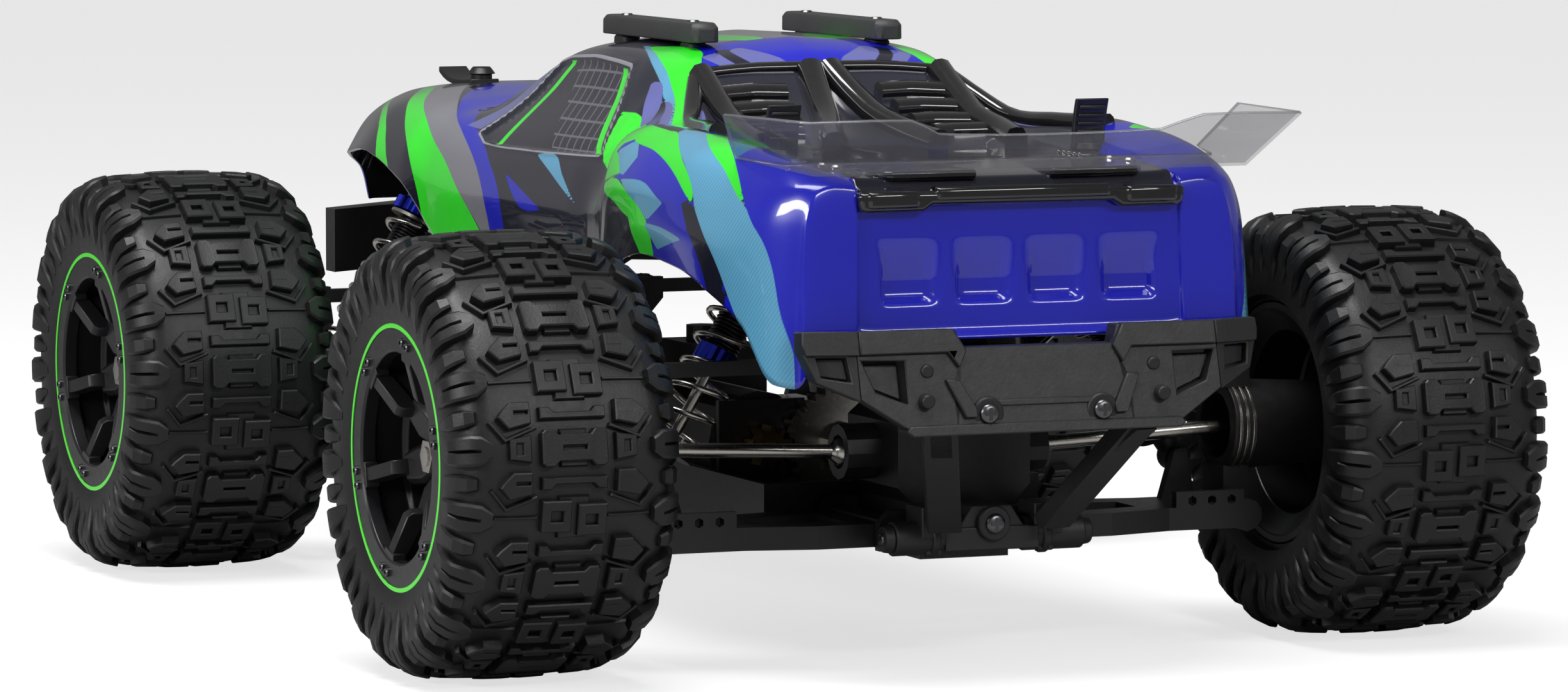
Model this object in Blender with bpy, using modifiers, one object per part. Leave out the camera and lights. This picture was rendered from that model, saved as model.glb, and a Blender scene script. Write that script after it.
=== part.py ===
"""Radio-controlled 4WD monster truck, 1:14 class.

Frame: +X forward, +Y left, +Z up. The origin is on the ground, midway between the axles.
Sizes below are in millimetres; MM turns them into Blender's metres as each mesh is made.
"""

import math

import bmesh
import bpy
from mathutils import Matrix, Vector

MM = 0.001

# Driving dimensions
WHEELBASE = 254.0
TRACK_HALF = 118.0  # tyre mid-plane from the centre plane
TYRE_R = 55.0
TYRE_HALF_W = 29.5
AXLE_Z = TYRE_R
GAP = 0.3  # clearance between neighbouring pieces

# Suspension, as distances from the centre plane and heights
ARM_IN_Y, ARM_OUT_Y = 20.0, 80.0
ARM_Z = 33.0
LINK_Z = 74.0
KINGPIN_Y = 90.0
HUB_IN_Y, HUB_OUT_Y = 77.2, 107.0  # inner end clears the shock's spring seat at full droop
HUB_BORE_END_Y = 95.8
PIN_R = 1.5
PIN_BORE_R = 1.8
LINK_PIN_R = 1.4
SHOCK_DX = 14.0  # shocks stand this far ahead of each axle
SHOCK_TOP = (38.0, 104.0)
SHOCK_FOOT = (72.0, 46.0)
BODY_POST_Y = {"front": 28.0, "rear": 42.0}

# Drive line
CUP_IN_Y, CUP_IN_Z = 26.0, 52.0  # centre of the inner driveshaft ball
BALL_R, SOCKET_R, SHAFT_R = 3.8, 4.4, 1.8
CENTRE_SHAFT_Z = 47.0
GEAR_MODULE, SPUR_TEETH, PINION_TEETH = 1.0, 30, 10
GEAR_X, GEAR_W = -63.0, 6.0
MOTOR_R = 14.0

# Steering
STEER_DX = -18.0
RACK_X, RACK_HALF_Y, RACK_Z = 105.0, 30.0, 53.0

# Rim
RIM_R, RIM_BORE_R, RIM_HALF_W = 31.0, 27.5, 24.0
BEAD_RING_R, BEAD_RING_IN_R = 32.6, 25.6

SHELL_T = 1.2

AXLES = {"front": WHEELBASE / 2, "rear": -WHEELBASE / 2}
SIDES = {"left": 1, "right": -1}

COLOURS = {
    "tyre": ((0.02, 0.02, 0.022), 0.85, 0.0),
    "plastic": ((0.03, 0.03, 0.032), 0.55, 0.0),
    "steel": ((0.62, 0.6, 0.56), 0.25, 1.0),
    "blue_alloy": ((0.05, 0.1, 0.75), 0.3, 0.8),
    "shell": ((0.04, 0.05, 0.62), 0.15, 0.0),
    "clear": ((0.8, 0.82, 0.85), 0.1, 0.0),
    "skid": ((0.07, 0.07, 0.075), 0.6, 0.0),
    "battery": ((0.1, 0.1, 0.12), 0.4, 0.0),
    "brass": ((0.6, 0.45, 0.2), 0.3, 1.0),
}

for old in list(bpy.data.objects):
    bpy.data.objects.remove(old)

PARTS = bpy.data.collections.new("monster_truck")
TOOLS = bpy.data.collections.new("cutters")
TOOLS.hide_render = True
for made in (PARTS, TOOLS):
    bpy.context.scene.collection.children.link(made)


def material(name):
    found = bpy.data.materials.get(name)
    if found:
        return found
    colour, roughness, metallic = COLOURS[name]
    made = bpy.data.materials.new(name)
    made.use_nodes = True
    shader = made.node_tree.nodes["Principled BSDF"]
    shader.inputs["Base Color"].default_value = (*colour, 1)
    shader.inputs["Roughness"].default_value = roughness
    shader.inputs["Metallic"].default_value = metallic
    return made


# ---------- Basic shapes, all as temporary objects in world millimetres ----------


def from_bmesh(bm):
    """A helper object in the tools collection, its mesh scaled to metres."""
    bmesh.ops.recalc_face_normals(bm, faces=bm.faces)
    bmesh.ops.scale(bm, vec=(MM, MM, MM), verts=bm.verts)
    mesh = bpy.data.meshes.new("shape")
    bm.to_mesh(mesh)
    bm.free()
    obj = bpy.data.objects.new("shape", mesh)
    obj.hide_render = True
    obj.display_type = "WIRE"
    TOOLS.objects.link(obj)
    return obj


def between(a, b):
    return min(a, b), max(a, b)


def box(x, y, z, taper=None):
    """A box between (low, high) pairs. taper scales its top face about the box's middle."""
    bm = bmesh.new()
    size = [pair[1] - pair[0] for pair in (x, y, z)]
    middle = Vector([(pair[0] + pair[1]) / 2 for pair in (x, y, z)])
    bmesh.ops.create_cube(bm, size=1)
    for v in bm.verts:
        grow = taper if taper and v.co.z > 0 else (1, 1)
        v.co.x *= size[0] * grow[0]
        v.co.y *= size[1] * grow[1]
        v.co.z *= size[2]
        v.co += middle
    return from_bmesh(bm)


def rod(start, end, r, r_end=None, segments=10):
    """A cylinder or cone from start to end."""
    start, end = Vector(start), Vector(end)
    bm = bmesh.new()
    bmesh.ops.create_cone(
        bm,
        cap_ends=True,
        segments=segments,
        radius1=r,
        radius2=r if r_end is None else r_end,
        depth=(end - start).length,
    )
    turn = (end - start).to_track_quat("Z", "Y").to_matrix().to_4x4()
    bmesh.ops.transform(bm, matrix=Matrix.Translation((start + end) / 2) @ turn, verts=bm.verts)
    return from_bmesh(bm)


def ball(centre, r, segments=8):
    bm = bmesh.new()
    bmesh.ops.create_uvsphere(bm, u_segments=segments, v_segments=segments - 2, radius=r)
    bmesh.ops.translate(bm, vec=centre, verts=bm.verts)
    return from_bmesh(bm)


def prism(outline, axis, low, high):
    """A flat outline, drawn in the plane across axis, made solid from low to high along it."""
    order = {"X": (1, 2, 0), "Y": (0, 2, 1), "Z": (0, 1, 2)}[axis]
    bm = bmesh.new()
    rings = []
    for level in (low, high):
        ring = []
        for a, b in outline:
            co = [0.0, 0.0, 0.0]
            co[order[0]], co[order[1]], co[order[2]] = a, b, level
            ring.append(bm.verts.new(co))
        rings.append(ring)
    bm.faces.new(rings[0])
    bm.faces.new(rings[1])
    for i in range(len(outline)):
        j = (i + 1) % len(outline)
        bm.faces.new((rings[0][i], rings[0][j], rings[1][j], rings[1][i]))
    return from_bmesh(bm)


def turned(profile, centre, steps):
    """A closed (y, radius) profile turned about the Y axis through centre."""
    bm = bmesh.new()
    verts = [bm.verts.new((radius, y, 0)) for y, radius in profile]
    edges = [bm.edges.new((verts[i], verts[(i + 1) % len(verts)])) for i in range(len(verts))]
    bmesh.ops.spin(
        bm,
        geom=verts + edges,
        cent=(0, 0, 0),
        axis=(0, 1, 0),
        angle=math.tau,
        steps=steps,
        use_merge=True,
    )
    bmesh.ops.remove_doubles(bm, verts=bm.verts, dist=0.001)
    bmesh.ops.translate(bm, vec=centre, verts=bm.verts)
    return from_bmesh(bm)


def evaluated_mesh(obj):
    graph = bpy.context.evaluated_depsgraph_get()
    return bpy.data.meshes.new_from_object(obj.evaluated_get(graph))


def combine(base, others, operation):
    """base joined with, or cut by, the other helper objects, which are then removed."""
    for other in others:
        boolean = base.modifiers.new("combine", "BOOLEAN")
        boolean.operation = operation
        boolean.object = other
    bpy.context.view_layer.update()
    result = evaluated_mesh(base)
    base.modifiers.clear()
    base.data = result
    for other in others:
        bpy.data.objects.remove(other)
    return base


def join(first, *others):
    return combine(first, others, "UNION")


def cut(base, *cutters):
    return combine(base, cutters, "DIFFERENCE")


def finish(obj, name, colour, origin=(0, 0, 0), bevel=0.0):
    """Names a finished piece, moves its origin to a point in mm and shows it."""
    at = Vector(origin) * MM
    obj.data.transform(Matrix.Translation(-at))
    obj.location = at
    obj.name = obj.data.name = name
    obj.data.materials.clear()
    obj.data.materials.append(material(colour))
    TOOLS.objects.unlink(obj)
    PARTS.objects.link(obj)
    obj.hide_render = False
    obj.display_type = "TEXTURED"
    if bevel:
        rounding = obj.modifiers.new("rounding", "BEVEL")
        rounding.width = bevel * MM
        rounding.segments = 1
        rounding.angle_limit = math.radians(50)
    return obj


# ---------- Wheels ----------

# (distance outward from the mid-plane, radius): outer surface, then the hollow for the foam
TYRE_PROFILE = (
    (-25.0, RIM_R + GAP),
    (-TYRE_HALF_W, 42.0),
    (-26.0, 50.5),
    (0.0, TYRE_R),
    (26.0, 50.5),
    (TYRE_HALF_W, 42.0),
    (26.8, BEAD_RING_R + GAP),
    (23.7, BEAD_RING_R + GAP),
    (23.7, RIM_R + GAP),
    (19.0, RIM_R + GAP),
    (24.5, 42.0),
    (0.0, 50.5),
    (-24.5, 42.0),
    (-20.0, RIM_R + GAP),
)
ROUND_STEPS = 20
SPOKES = 6
HEX_R = 6.9
NUT_R, NUT_END = 4.4, 18.6
JOURNAL_R = 2.5
HUB_IN, HEX_END, HUB_OUT = -6.0, 0.0, 15.0


def hexagon(x, r):
    """Corners of a hexagon about an axle at x, as (x, z)."""
    angles = [math.radians(60 * k) for k in range(6)]
    return [(x + r * math.cos(a), AXLE_Z + r * math.sin(a)) for a in angles]


def wheel_set(end, side):
    """Tyre, rim with its bead ring, and stub axle with drive hex and nut: all spin together."""
    s, x = SIDES[side], AXLES[end]
    centre = (x, s * TRACK_HALF, AXLE_Z)
    tag = f"{end}_{side}"
    tyre = turned([(s * y, r) for y, r in TYRE_PROFILE], centre, ROUND_STEPS)
    finish(tyre, f"tyre_{tag}", "tyre", centre)

    def at(y):
        return s * (TRACK_HALF + y)

    def span(low, high):
        return between(at(low), at(high))

    barrel = turned(
        [
            (s * y, r)
            for y, r in (
                (-RIM_HALF_W, RIM_R),
                (RIM_HALF_W - GAP, RIM_R),
                (RIM_HALF_W - GAP, BEAD_RING_R),
                (26.4, BEAD_RING_R),
                (26.4, BEAD_RING_IN_R),
                (22.0, BEAD_RING_IN_R),
                (20.0, RIM_BORE_R),
                (-RIM_HALF_W, RIM_BORE_R),
            )
        ],
        centre,
        ROUND_STEPS,
    )
    hub = rod((x, at(HUB_IN), AXLE_Z), (x, at(HUB_OUT), AXLE_Z), 9.5, 7.5, 12)
    spokes = []
    for k in range(SPOKES):
        spoke = box((6, 29), span(8, 15), (-3.5, 3.5))
        turn = Matrix.Rotation(math.radians(60 * k + 15), 4, "Y")
        spoke.data.transform(Matrix.Translation(Vector((x, 0, AXLE_Z)) * MM) @ turn)
        spokes.append(spoke)
    rim = join(barrel, hub, *spokes)
    pocket = prism(hexagon(x, HEX_R + GAP), "Y", *span(HUB_IN - 1, HEX_END))
    bore = rod((x, at(HEX_END - 1), AXLE_Z), (x, at(20), AXLE_Z), JOURNAL_R + GAP)
    finish(cut(rim, pocket, bore), f"wheel_{tag}", "plastic", centre)

    axle = join(
        rod((x, s * 94, AXLE_Z), (x, at(19), AXLE_Z), JOURNAL_R),
        prism(hexagon(x, HEX_R), "Y", *span(HUB_IN - 1.5, HEX_END - GAP)),
        prism(hexagon(x, NUT_R), "Y", *span(HUB_OUT + GAP, NUT_END)),
        rod((x, s * 88.5, AXLE_Z), (x, s * 95.4, AXLE_Z), 6.2, segments=12),
    )
    socket = rod((x, s * 87, AXLE_Z), (x, s * 94.5, AXLE_Z), SOCKET_R)
    finish(cut(axle, socket), f"axle_{tag}", "steel", centre)


# ---------- Suspension ----------


def lug(x, y, z, half, r=4.2):
    """A round eye about an X-wise pin."""
    return rod((x - half, y, z), (x + half, y, z), r)


def lower_arm(end, side):
    """A-arm with inner barrel, outer fork and pin, shock stud and a row of three holes."""
    s, x = SIDES[side], AXLES[end]
    foot_y, foot_z = SHOCK_FOOT
    plate = prism(
        [
            (x - 17.4, s * 21),
            (x + 17.4, s * 21),
            (x + 17.4, s * 40),
            (x + 13, s * 60),
            (x + 13, s * 81),
            (x + 8, s * 81),
            (x + 8, s * 72),
            (x - 8, s * 72),
            (x - 8, s * 81),
            (x - 13, s * 81),
            (x - 13, s * 58),
            (x - 17.4, s * 40),
        ],
        "Z",
        ARM_Z - 3.2,
        ARM_Z + 2.6,
    )
    barrel = lug(x, s * ARM_IN_Y, ARM_Z, 17.4, 3.9)
    ears = [lug(x + side_x * 10.5, s * ARM_OUT_Y, ARM_Z, 2.5, 4.2) for side_x in (-1, 1)]
    pin = rod((x - 12, s * ARM_OUT_Y, ARM_Z), (x + 12, s * ARM_OUT_Y, ARM_Z), PIN_R, segments=8)
    ear_x = x + SHOCK_DX - 4.6
    shock_ear = prism(
        [
            (s * (foot_y - 7), ARM_Z),
            (s * (foot_y + 3.5), ARM_Z),
            (s * (foot_y + 1.5), foot_z - 1),
            (s * (foot_y + 1), foot_z + 2.2),
            (s * (foot_y - 2.5), foot_z + 2.2),
        ],
        "X",
        ear_x - 1.5,
        ear_x + 1.5,
    )
    stud = rod((ear_x, s * foot_y, foot_z), (x + SHOCK_DX + 3.5, s * foot_y, foot_z), 1.3)
    hole_flange = box((x - 13, x - 10.4), between(s * 60, s * 79), (ARM_Z, ARM_Z + 6.6))
    arm = join(plate, barrel, *ears, pin, shock_ear, stud, hole_flange)
    pin_y = s * ARM_IN_Y
    cutters = [rod((x - 18, pin_y, ARM_Z), (x + 18, pin_y, ARM_Z), PIN_BORE_R, segments=8)]
    for y in (64.5, 70.0, 75.5):
        cutters.append(rod((x - 15, s * y, ARM_Z + 4.2), (x - 9, s * y, ARM_Z + 4.2), 1.3, segments=6))
    window = [(x - 10, s * 30), (x + 10, s * 30), (x + 6, s * 52), (x - 6, s * 52)]
    cutters.append(prism(window, "Z", ARM_Z - 5, ARM_Z + 5))
    finish(cut(arm, *cutters), f"lower_arm_{end}_{side}", "plastic", (x, s * ARM_IN_Y, ARM_Z))


def upper_link(end, side):
    """Link from the gearbox to the top of the hub, the same length as the lower arm."""
    s, x = SIDES[side], AXLES[end]
    inner, outer = s * ARM_IN_Y, s * ARM_OUT_Y
    bar = box((x - 2, x + 2), between(inner, outer), (LINK_Z - 1.8, LINK_Z + 1.8))
    eyes = [lug(x, y, LINK_Z, 3.4, 3.4) for y in (inner, outer)]
    link = join(bar, *eyes)
    holes = [
        rod((x - 5, y, LINK_Z), (x + 5, y, LINK_Z), PIN_BORE_R, segments=8) for y in (inner, outer)
    ]
    finish(cut(link, *holes), f"upper_link_{end}_{side}", "plastic", (x, inner, LINK_Z))


def hub_lugs(x, s, ring_r):
    """The lower lug and the upper fork that hang a hub between arm and link."""
    pin_y = s * ARM_OUT_Y
    web_y = between(s * (ARM_OUT_Y - 3.5), s * (ARM_OUT_Y + 3.5))
    shapes = [
        lug(x, pin_y, ARM_Z, 7.2, 3.9),
        box((x - 6, x + 6), web_y, (ARM_Z, AXLE_Z - ring_r + 1)),
        box((x - 6.6, x + 6.6), web_y, (AXLE_Z + ring_r - 1, LINK_Z - 4.2)),
        rod((x - 6, pin_y, LINK_Z), (x + 6, pin_y, LINK_Z), LINK_PIN_R, segments=8),
    ]
    for side_x in (-1, 1):
        middle = x + side_x * 5.2
        shapes.append(box((middle - 1.4, middle + 1.4), web_y, (LINK_Z - 5, LINK_Z + 3)))
    bore = rod((x - 8, pin_y, ARM_Z), (x + 8, pin_y, ARM_Z), PIN_BORE_R, segments=8)
    return shapes, bore


def rear_hub(side):
    """Rear hub carrier: one housing round the axle cup and bearing."""
    s, x = SIDES[side], AXLES["rear"]
    shapes, bore = hub_lugs(x, s, 11.0)
    housing = rod((x, s * HUB_IN_Y, AXLE_Z), (x, s * HUB_OUT_Y, AXLE_Z), 11.5, 10.0, 16)
    carrier = join(housing, *shapes)
    hollow = rod((x, s * 75, AXLE_Z), (x, s * HUB_BORE_END_Y, AXLE_Z), 8.6, segments=12)
    journal = rod((x, s * 90, AXLE_Z), (x, s * 109, AXLE_Z), JOURNAL_R + GAP)
    origin = (x, s * ARM_OUT_Y, ARM_Z)
    finish(cut(carrier, hollow, journal, bore), f"hub_rear_{side}", "plastic", origin)


PLATE_IN, PLATE_OUT = 11.4, 14.4  # kingpin plates, above and below the axle
KNUCKLE_ARM_Z = (45.8, RACK_Z - 3.4)  # leaves room for the tie rod's eye to tilt above it


def front_hub(side):
    """Caster block, which holds the kingpins, and the steering knuckle that turns in it."""
    s, x = SIDES[side], AXLES["front"]
    shapes, bore = hub_lugs(x, s, 11.0)
    ring = rod((x, s * HUB_IN_Y, AXLE_Z), (x, s * 81, AXLE_Z), 11.8, segments=16)
    plate_y = between(s * 77.6, s * 94.5)
    for up in (-1, 1):
        plate_z = between(AXLE_Z + up * PLATE_IN, AXLE_Z + up * PLATE_OUT)
        shapes.append(box((x - 5, x + 5), plate_y, plate_z))
        web_z = between(AXLE_Z + up * 10.8, AXLE_Z + up * PLATE_OUT)
        shapes.append(box((x - 5.4, x + 5.4), between(s * 77.4, s * 82), web_z))
    block = join(ring, *shapes)
    hollow = rod((x, s * 74, AXLE_Z), (x, s * 84, AXLE_Z), 8.6, segments=12)
    kingpins = rod((x, s * KINGPIN_Y, 38), (x, s * KINGPIN_Y, 72), 2.0)
    origin = (x, s * ARM_OUT_Y, ARM_Z)
    finish(cut(block, hollow, kingpins, bore), f"caster_block_{side}", "plastic", origin)

    housing = rod((x, s * 87, AXLE_Z), (x, s * HUB_OUT_Y, AXLE_Z), 9.4, 8.6, 16)
    pin = rod((x, s * KINGPIN_Y, AXLE_Z - 14.2), (x, s * KINGPIN_Y, AXLE_Z + 14.2), 1.6)
    boss = rod((x, s * KINGPIN_Y, AXLE_Z - 11.1), (x, s * KINGPIN_Y, AXLE_Z + 11.1), 3.6)
    tip_x = x + STEER_DX
    arm = box((tip_x - 3.2, x - 3), between(s * 87.5, s * 93), KNUCKLE_ARM_Z)
    knuckle = join(housing, pin, boss, arm)
    hollow = rod((x, s * 86, AXLE_Z), (x, s * HUB_BORE_END_Y, AXLE_Z), 7.4, segments=12)
    journal = rod((x, s * 90, AXLE_Z), (x, s * 109, AXLE_Z), JOURNAL_R + GAP)
    origin = (x, s * KINGPIN_Y, AXLE_Z)
    finish(cut(knuckle, hollow, journal), f"steering_knuckle_{side}", "plastic", origin)


SHOCK_BODY_END, SHOCK_BORE_START, ROD_TIP = 36.0, 12.0, 26.0
COLLAR_T, SEAT_FROM_FOOT = 10.0, 9.0
SPRING_R, WIRE_R, SPRING_TURNS = 7.0, 0.8, 5


def shock(end, side):
    """Oil shock: cylinder with collar, piston rod with spring seat, and the coil spring."""
    s, x = SIDES[side], AXLES[end] + SHOCK_DX
    top = Vector((x, s * SHOCK_TOP[0], SHOCK_TOP[1]))
    foot = Vector((x, s * SHOCK_FOOT[0], SHOCK_FOOT[1]))
    length = (foot - top).length
    along = (foot - top) / length
    tag = f"{end}_{side}"

    def at(t):
        return top + along * t

    cylinder = join(
        rod(at(3), at(SHOCK_BODY_END), 4.5),
        lug(x, top.y, top.z, 2.4, 3.6),
        rod(at(COLLAR_T - 6), at(COLLAR_T + 2), 7.8, segments=12),
    )
    eye = rod(top - Vector((4, 0, 0)), top + Vector((4, 0, 0)), 1.8, segments=8)
    bore = rod(at(SHOCK_BORE_START), at(SHOCK_BODY_END + 2), 1.8, segments=8)
    finish(cut(cylinder, eye, bore), f"shock_body_{tag}", "blue_alloy", top)

    piston_rod = join(
        rod(at(ROD_TIP), at(length - 2), 1.4, segments=8),
        rod(at(length - SEAT_FROM_FOOT), at(length - SEAT_FROM_FOOT + 2), 7.4, segments=12),
        rod(at(length - SEAT_FROM_FOOT + 1), at(length - 2), 3.0, segments=8),
        lug(x, foot.y, foot.z, 2.4, 3.8),
    )
    eye = rod(foot - Vector((4, 0, 0)), foot + Vector((4, 0, 0)), 2.3, segments=8)
    finish(cut(piston_rod, eye), f"shock_rod_{tag}", "steel", foot)

    start = COLLAR_T + 2 + WIRE_R + GAP
    stop = length - SEAT_FROM_FOOT - WIRE_R - GAP
    spring = coil(at(start), at(stop))
    finish(spring, f"spring_{tag}", "steel", at(start))


def coil(start, stop):
    """A round-wire helix from start to stop."""
    turn = (stop - start).to_track_quat("Z", "Y").to_matrix()
    per_turn = 7
    count = SPRING_TURNS * per_turn
    curve = bpy.data.curves.new("coil", "CURVE")
    curve.dimensions = "3D"
    curve.bevel_depth = WIRE_R * MM
    curve.bevel_resolution = 0
    curve.use_fill_caps = True
    spline = curve.splines.new("POLY")
    spline.points.add(count)
    height = (stop - start).length
    for i, point in enumerate(spline.points):
        a = math.tau * i / per_turn
        local = Vector((SPRING_R * math.cos(a), SPRING_R * math.sin(a), height * i / count))
        point.co = (*((start + turn @ local) * MM), 1)
    obj = bpy.data.objects.new("coil", curve)
    TOOLS.objects.link(obj)
    bpy.context.view_layer.update()
    mesh = evaluated_mesh(obj)
    bpy.data.objects.remove(obj)
    bm = bmesh.new()
    bm.from_mesh(mesh)
    bmesh.ops.remove_doubles(bm, verts=bm.verts, dist=0.01 * MM)
    bmesh.ops.scale(bm, vec=(1 / MM,) * 3, verts=bm.verts)
    return from_bmesh(bm)


def driveshaft(end, side):
    """Dog-bone shaft with a ball at each end."""
    s, x = SIDES[side], AXLES[end]
    inner = Vector((x, s * CUP_IN_Y, CUP_IN_Z))
    outer = Vector((x, s * KINGPIN_Y, AXLE_Z))
    shaft = join(rod(inner, outer, SHAFT_R, segments=8), ball(inner, BALL_R), ball(outer, BALL_R))
    finish(shaft, f"driveshaft_{end}_{side}", "steel", inner)


# ---------- Gearboxes with shock towers ----------

BOX_HALF_X = 16.0
PLATE_X = 19.4  # hinge-pin plates, ahead of and behind each axle
TOWER_X = (1.5, 5.5)


def gearbox(end):
    """Differential housing, hinge-pin plates and pins, output cups, shock tower, body posts."""
    x = AXLES[end]
    top_y, top_z = SHOCK_TOP
    post_y = BODY_POST_Y[end]
    wing_y = max(top_y, post_y) + 5
    right_half = [(14, 30), (14, 40), (18, 44), (18, 60), (12, 65)]
    outline = right_half + [(-y, z) for y, z in reversed(right_half)]
    housing = prism(outline, "X", x - BOX_HALF_X, x + BOX_HALF_X)
    shapes = []
    for fore in (-1, 1):
        face = x + fore * PLATE_X
        plate = [(-25, 29), (25, 29), (25, 36), (22, 39), (-22, 39), (-25, 36)]
        shapes.append(prism(plate, "X", face - 1.5, face + 1.5))
        shapes.append(box(between(x + fore * 14, face), (-12, 12), (30, 39)))
    half = [(14, 60), (14, 80), (wing_y, top_z - 7), (wing_y, top_z + 4), (top_y - 8, top_z + 4), (10, 92)]
    tower = half + [(-y, z) for y, z in reversed(half)]
    shapes.append(prism(tower, "X", x + TOWER_X[0], x + TOWER_X[1]))
    for s in (-1, 1):
        pin_y = s * ARM_IN_Y
        shapes.append(rod((x - 20, pin_y, ARM_Z), (x + 20, pin_y, ARM_Z), PIN_R, segments=8))
        shapes.append(rod((x - 6, pin_y, LINK_Z), (x + 6, pin_y, LINK_Z), LINK_PIN_R, segments=8))
        shapes.append(rod((x, s * 16, CUP_IN_Z), (x, s * 27.4, CUP_IN_Z), 7.0, segments=12))
        shock_pin = (x + 3, s * top_y, top_z), (x + SHOCK_DX + 4, s * top_y, top_z)
        shapes.append(rod(*shock_pin, PIN_R, segments=8))
        for fore in (-1, 1):
            middle = x + fore * 5.2
            ear = [(s * 9, 62), (s * 15, 62), (s * 23, 71), (s * 23, 77), (s * 9, 77)]
            shapes.append(prism(ear, "X", middle - 1.3, middle + 1.3))
        post_x = x + sum(TOWER_X) / 2
        shapes.append(rod((post_x, s * post_y, 101), (post_x, s * post_y, 137), 2.9, 2.6))
    body = join(housing, *shapes)
    cutters = []
    for s in (-1, 1):
        cutters.append(rod((x, s * 21.6, CUP_IN_Z), (x, s * 29, CUP_IN_Z), SOCKET_R))
    inward = -1 if end == "front" else 1
    mouth = x + inward * 12, x + inward * 30
    cutters.append(rod((mouth[0], 0, CENTRE_SHAFT_Z), (mouth[1], 0, CENTRE_SHAFT_Z), 2.9))
    finish(cut(body, *cutters), f"{end}_gearbox", "plastic", (x, 0, AXLE_Z))


# ---------- Chassis, bumpers and electrics ----------

TRAY_X, TRAY_Y = 104.0, 38.0
TRAY_WALL, TRAY_BOTTOM, FLOOR_TOP, RIM_TOP = 2.4, 26.0, 30.0, 42.0
TONGUE_Z = (TRAY_BOTTOM, 28.6)
SEAT_Z = FLOOR_TOP + GAP  # underside of what is bolted to the tray


def chassis():
    """Tray with upturned sides, tongues under the gearboxes, and the steering rack guides."""
    tray = box((-TRAY_X, TRAY_X), (-TRAY_Y, TRAY_Y), (TRAY_BOTTOM, RIM_TOP))
    half_x, half_y = TRAY_X - TRAY_WALL, TRAY_Y - TRAY_WALL
    inside = box((-half_x, half_x), (-half_y, half_y), (FLOOR_TOP, RIM_TOP + 8))
    tray = cut(tray, inside)
    shapes = [box(between(end * 100, end * 143), (-12, 12), TONGUE_Z) for end in (-1, 1)]
    for s in (-1, 1):
        guide_y = between(s * 9, s * 15)
        shapes.append(box((102, TRAY_X + 0.6), guide_y, (28, RACK_Z - 2.4)))
    tray = join(tray, *shapes)
    notch = rod((-120, 0, CENTRE_SHAFT_Z), (120, 0, CENTRE_SHAFT_Z), 6.5)
    underside_vents = [box((x - 6, x + 6), (-4, 4), (20, 35)) for x in (-90, -30, 30, 80)]
    finish(cut(tray, notch, *underside_vents), "chassis_tray", "plastic")


def rear_bumper():
    """Bumper beam with two raised pads, windows, bracket, V struts and the lower cross tube."""
    back, front = -WHEELBASE / 2 - 66, -WHEELBASE / 2 - 56.5
    left_half = [(20, 82.5), (21.5, 87), (60, 87), (58, 75), (35, 63)]
    outline = left_half + [(-y, z) for y, z in reversed(left_half)]
    beam = prism(outline, "X", back, front)
    windows = []
    for s in (-1, 1):
        outline = [(s * 33, 80), (s * 45, 80), (s * 43, 73.5), (s * 33, 69)]
        windows.append(prism(outline, "X", back - 1, back + 5))
    beam = cut(beam, *windows)
    bracket = box((front - 1, AXLES["rear"] - BOX_HALF_X - 0.4), (-12, 12), (63.4, 67))
    foot_x = AXLES["rear"] - 29
    struts = []
    for s in (-1, 1):
        struts.append(rod((back + 5, s * 30, 67), (foot_x - 3, s * 13, 35), 3.6, segments=6))
        struts.append(rod((foot_x, s * 10, ARM_Z), (foot_x, s * 28, ARM_Z), 4.3))
    centre = box((foot_x - 5, AXLES["rear"] - PLATE_X - 1.9), (-13, 13), (29.5, 37))
    rear = join(beam, bracket, centre, *struts)
    heads = [rod((back + 2, s * 15.2, 67), (back - 1.6, s * 15.2, 67), 2.6) for s in (-1, 1)]
    finish(join(rear, *heads), "rear_bumper", "plastic")


def front_bumper():
    """Swept bumper bar, its bracket and the skid plate in front of the gearbox."""
    tip = 201.0
    nose = AXLES["front"]
    half = [(tip, 30), (nose + 52, 58), (nose + 44, 58), (nose + 64, 28)]
    bar = prism(half + [(a, -b) for a, b in reversed(half)], "Z", 77, 95)
    bracket = box((nose + BOX_HALF_X + 0.4, tip - 5), (-12, 12), (59.5, 64))
    riser = box((nose + 65, tip - 2), (-14, 14), (58, 80))
    skid = box((nose + PLATE_X + 1.9, nose + 50), (-15, 15), (29, 33))
    profile = [(nose + 46, 29), (nose + 50, 29), (tip - 1, 61), (tip - 6, 63), (nose + 46, 33)]
    slope = prism(profile, "Y", -15, 15)
    finish(join(bar, riser, bracket, slope, skid), "front_bumper", "plastic")


ROOT_SHARE, TIP_SHARE = 0.30, 0.12  # half tooth widths as shares of the pitch


def gear_outline(teeth, phase, centre):
    """A straight-sided tooth form that clears its mate by about 0.15 mm."""
    pitch = GEAR_MODULE * teeth / 2
    out_r, root_r = pitch + 0.75 * GEAR_MODULE, pitch - 1.05 * GEAR_MODULE
    step = math.tau / teeth
    points = []
    corners = ((root_r, -ROOT_SHARE), (out_r, -TIP_SHARE), (out_r, TIP_SHARE), (root_r, ROOT_SHARE))
    for k in range(teeth):
        mid = phase + k * step
        for r, share in corners:
            a = mid + share * step
            points.append((centre[0] + r * math.cos(a), centre[1] + r * math.sin(a)))
    return points


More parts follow.
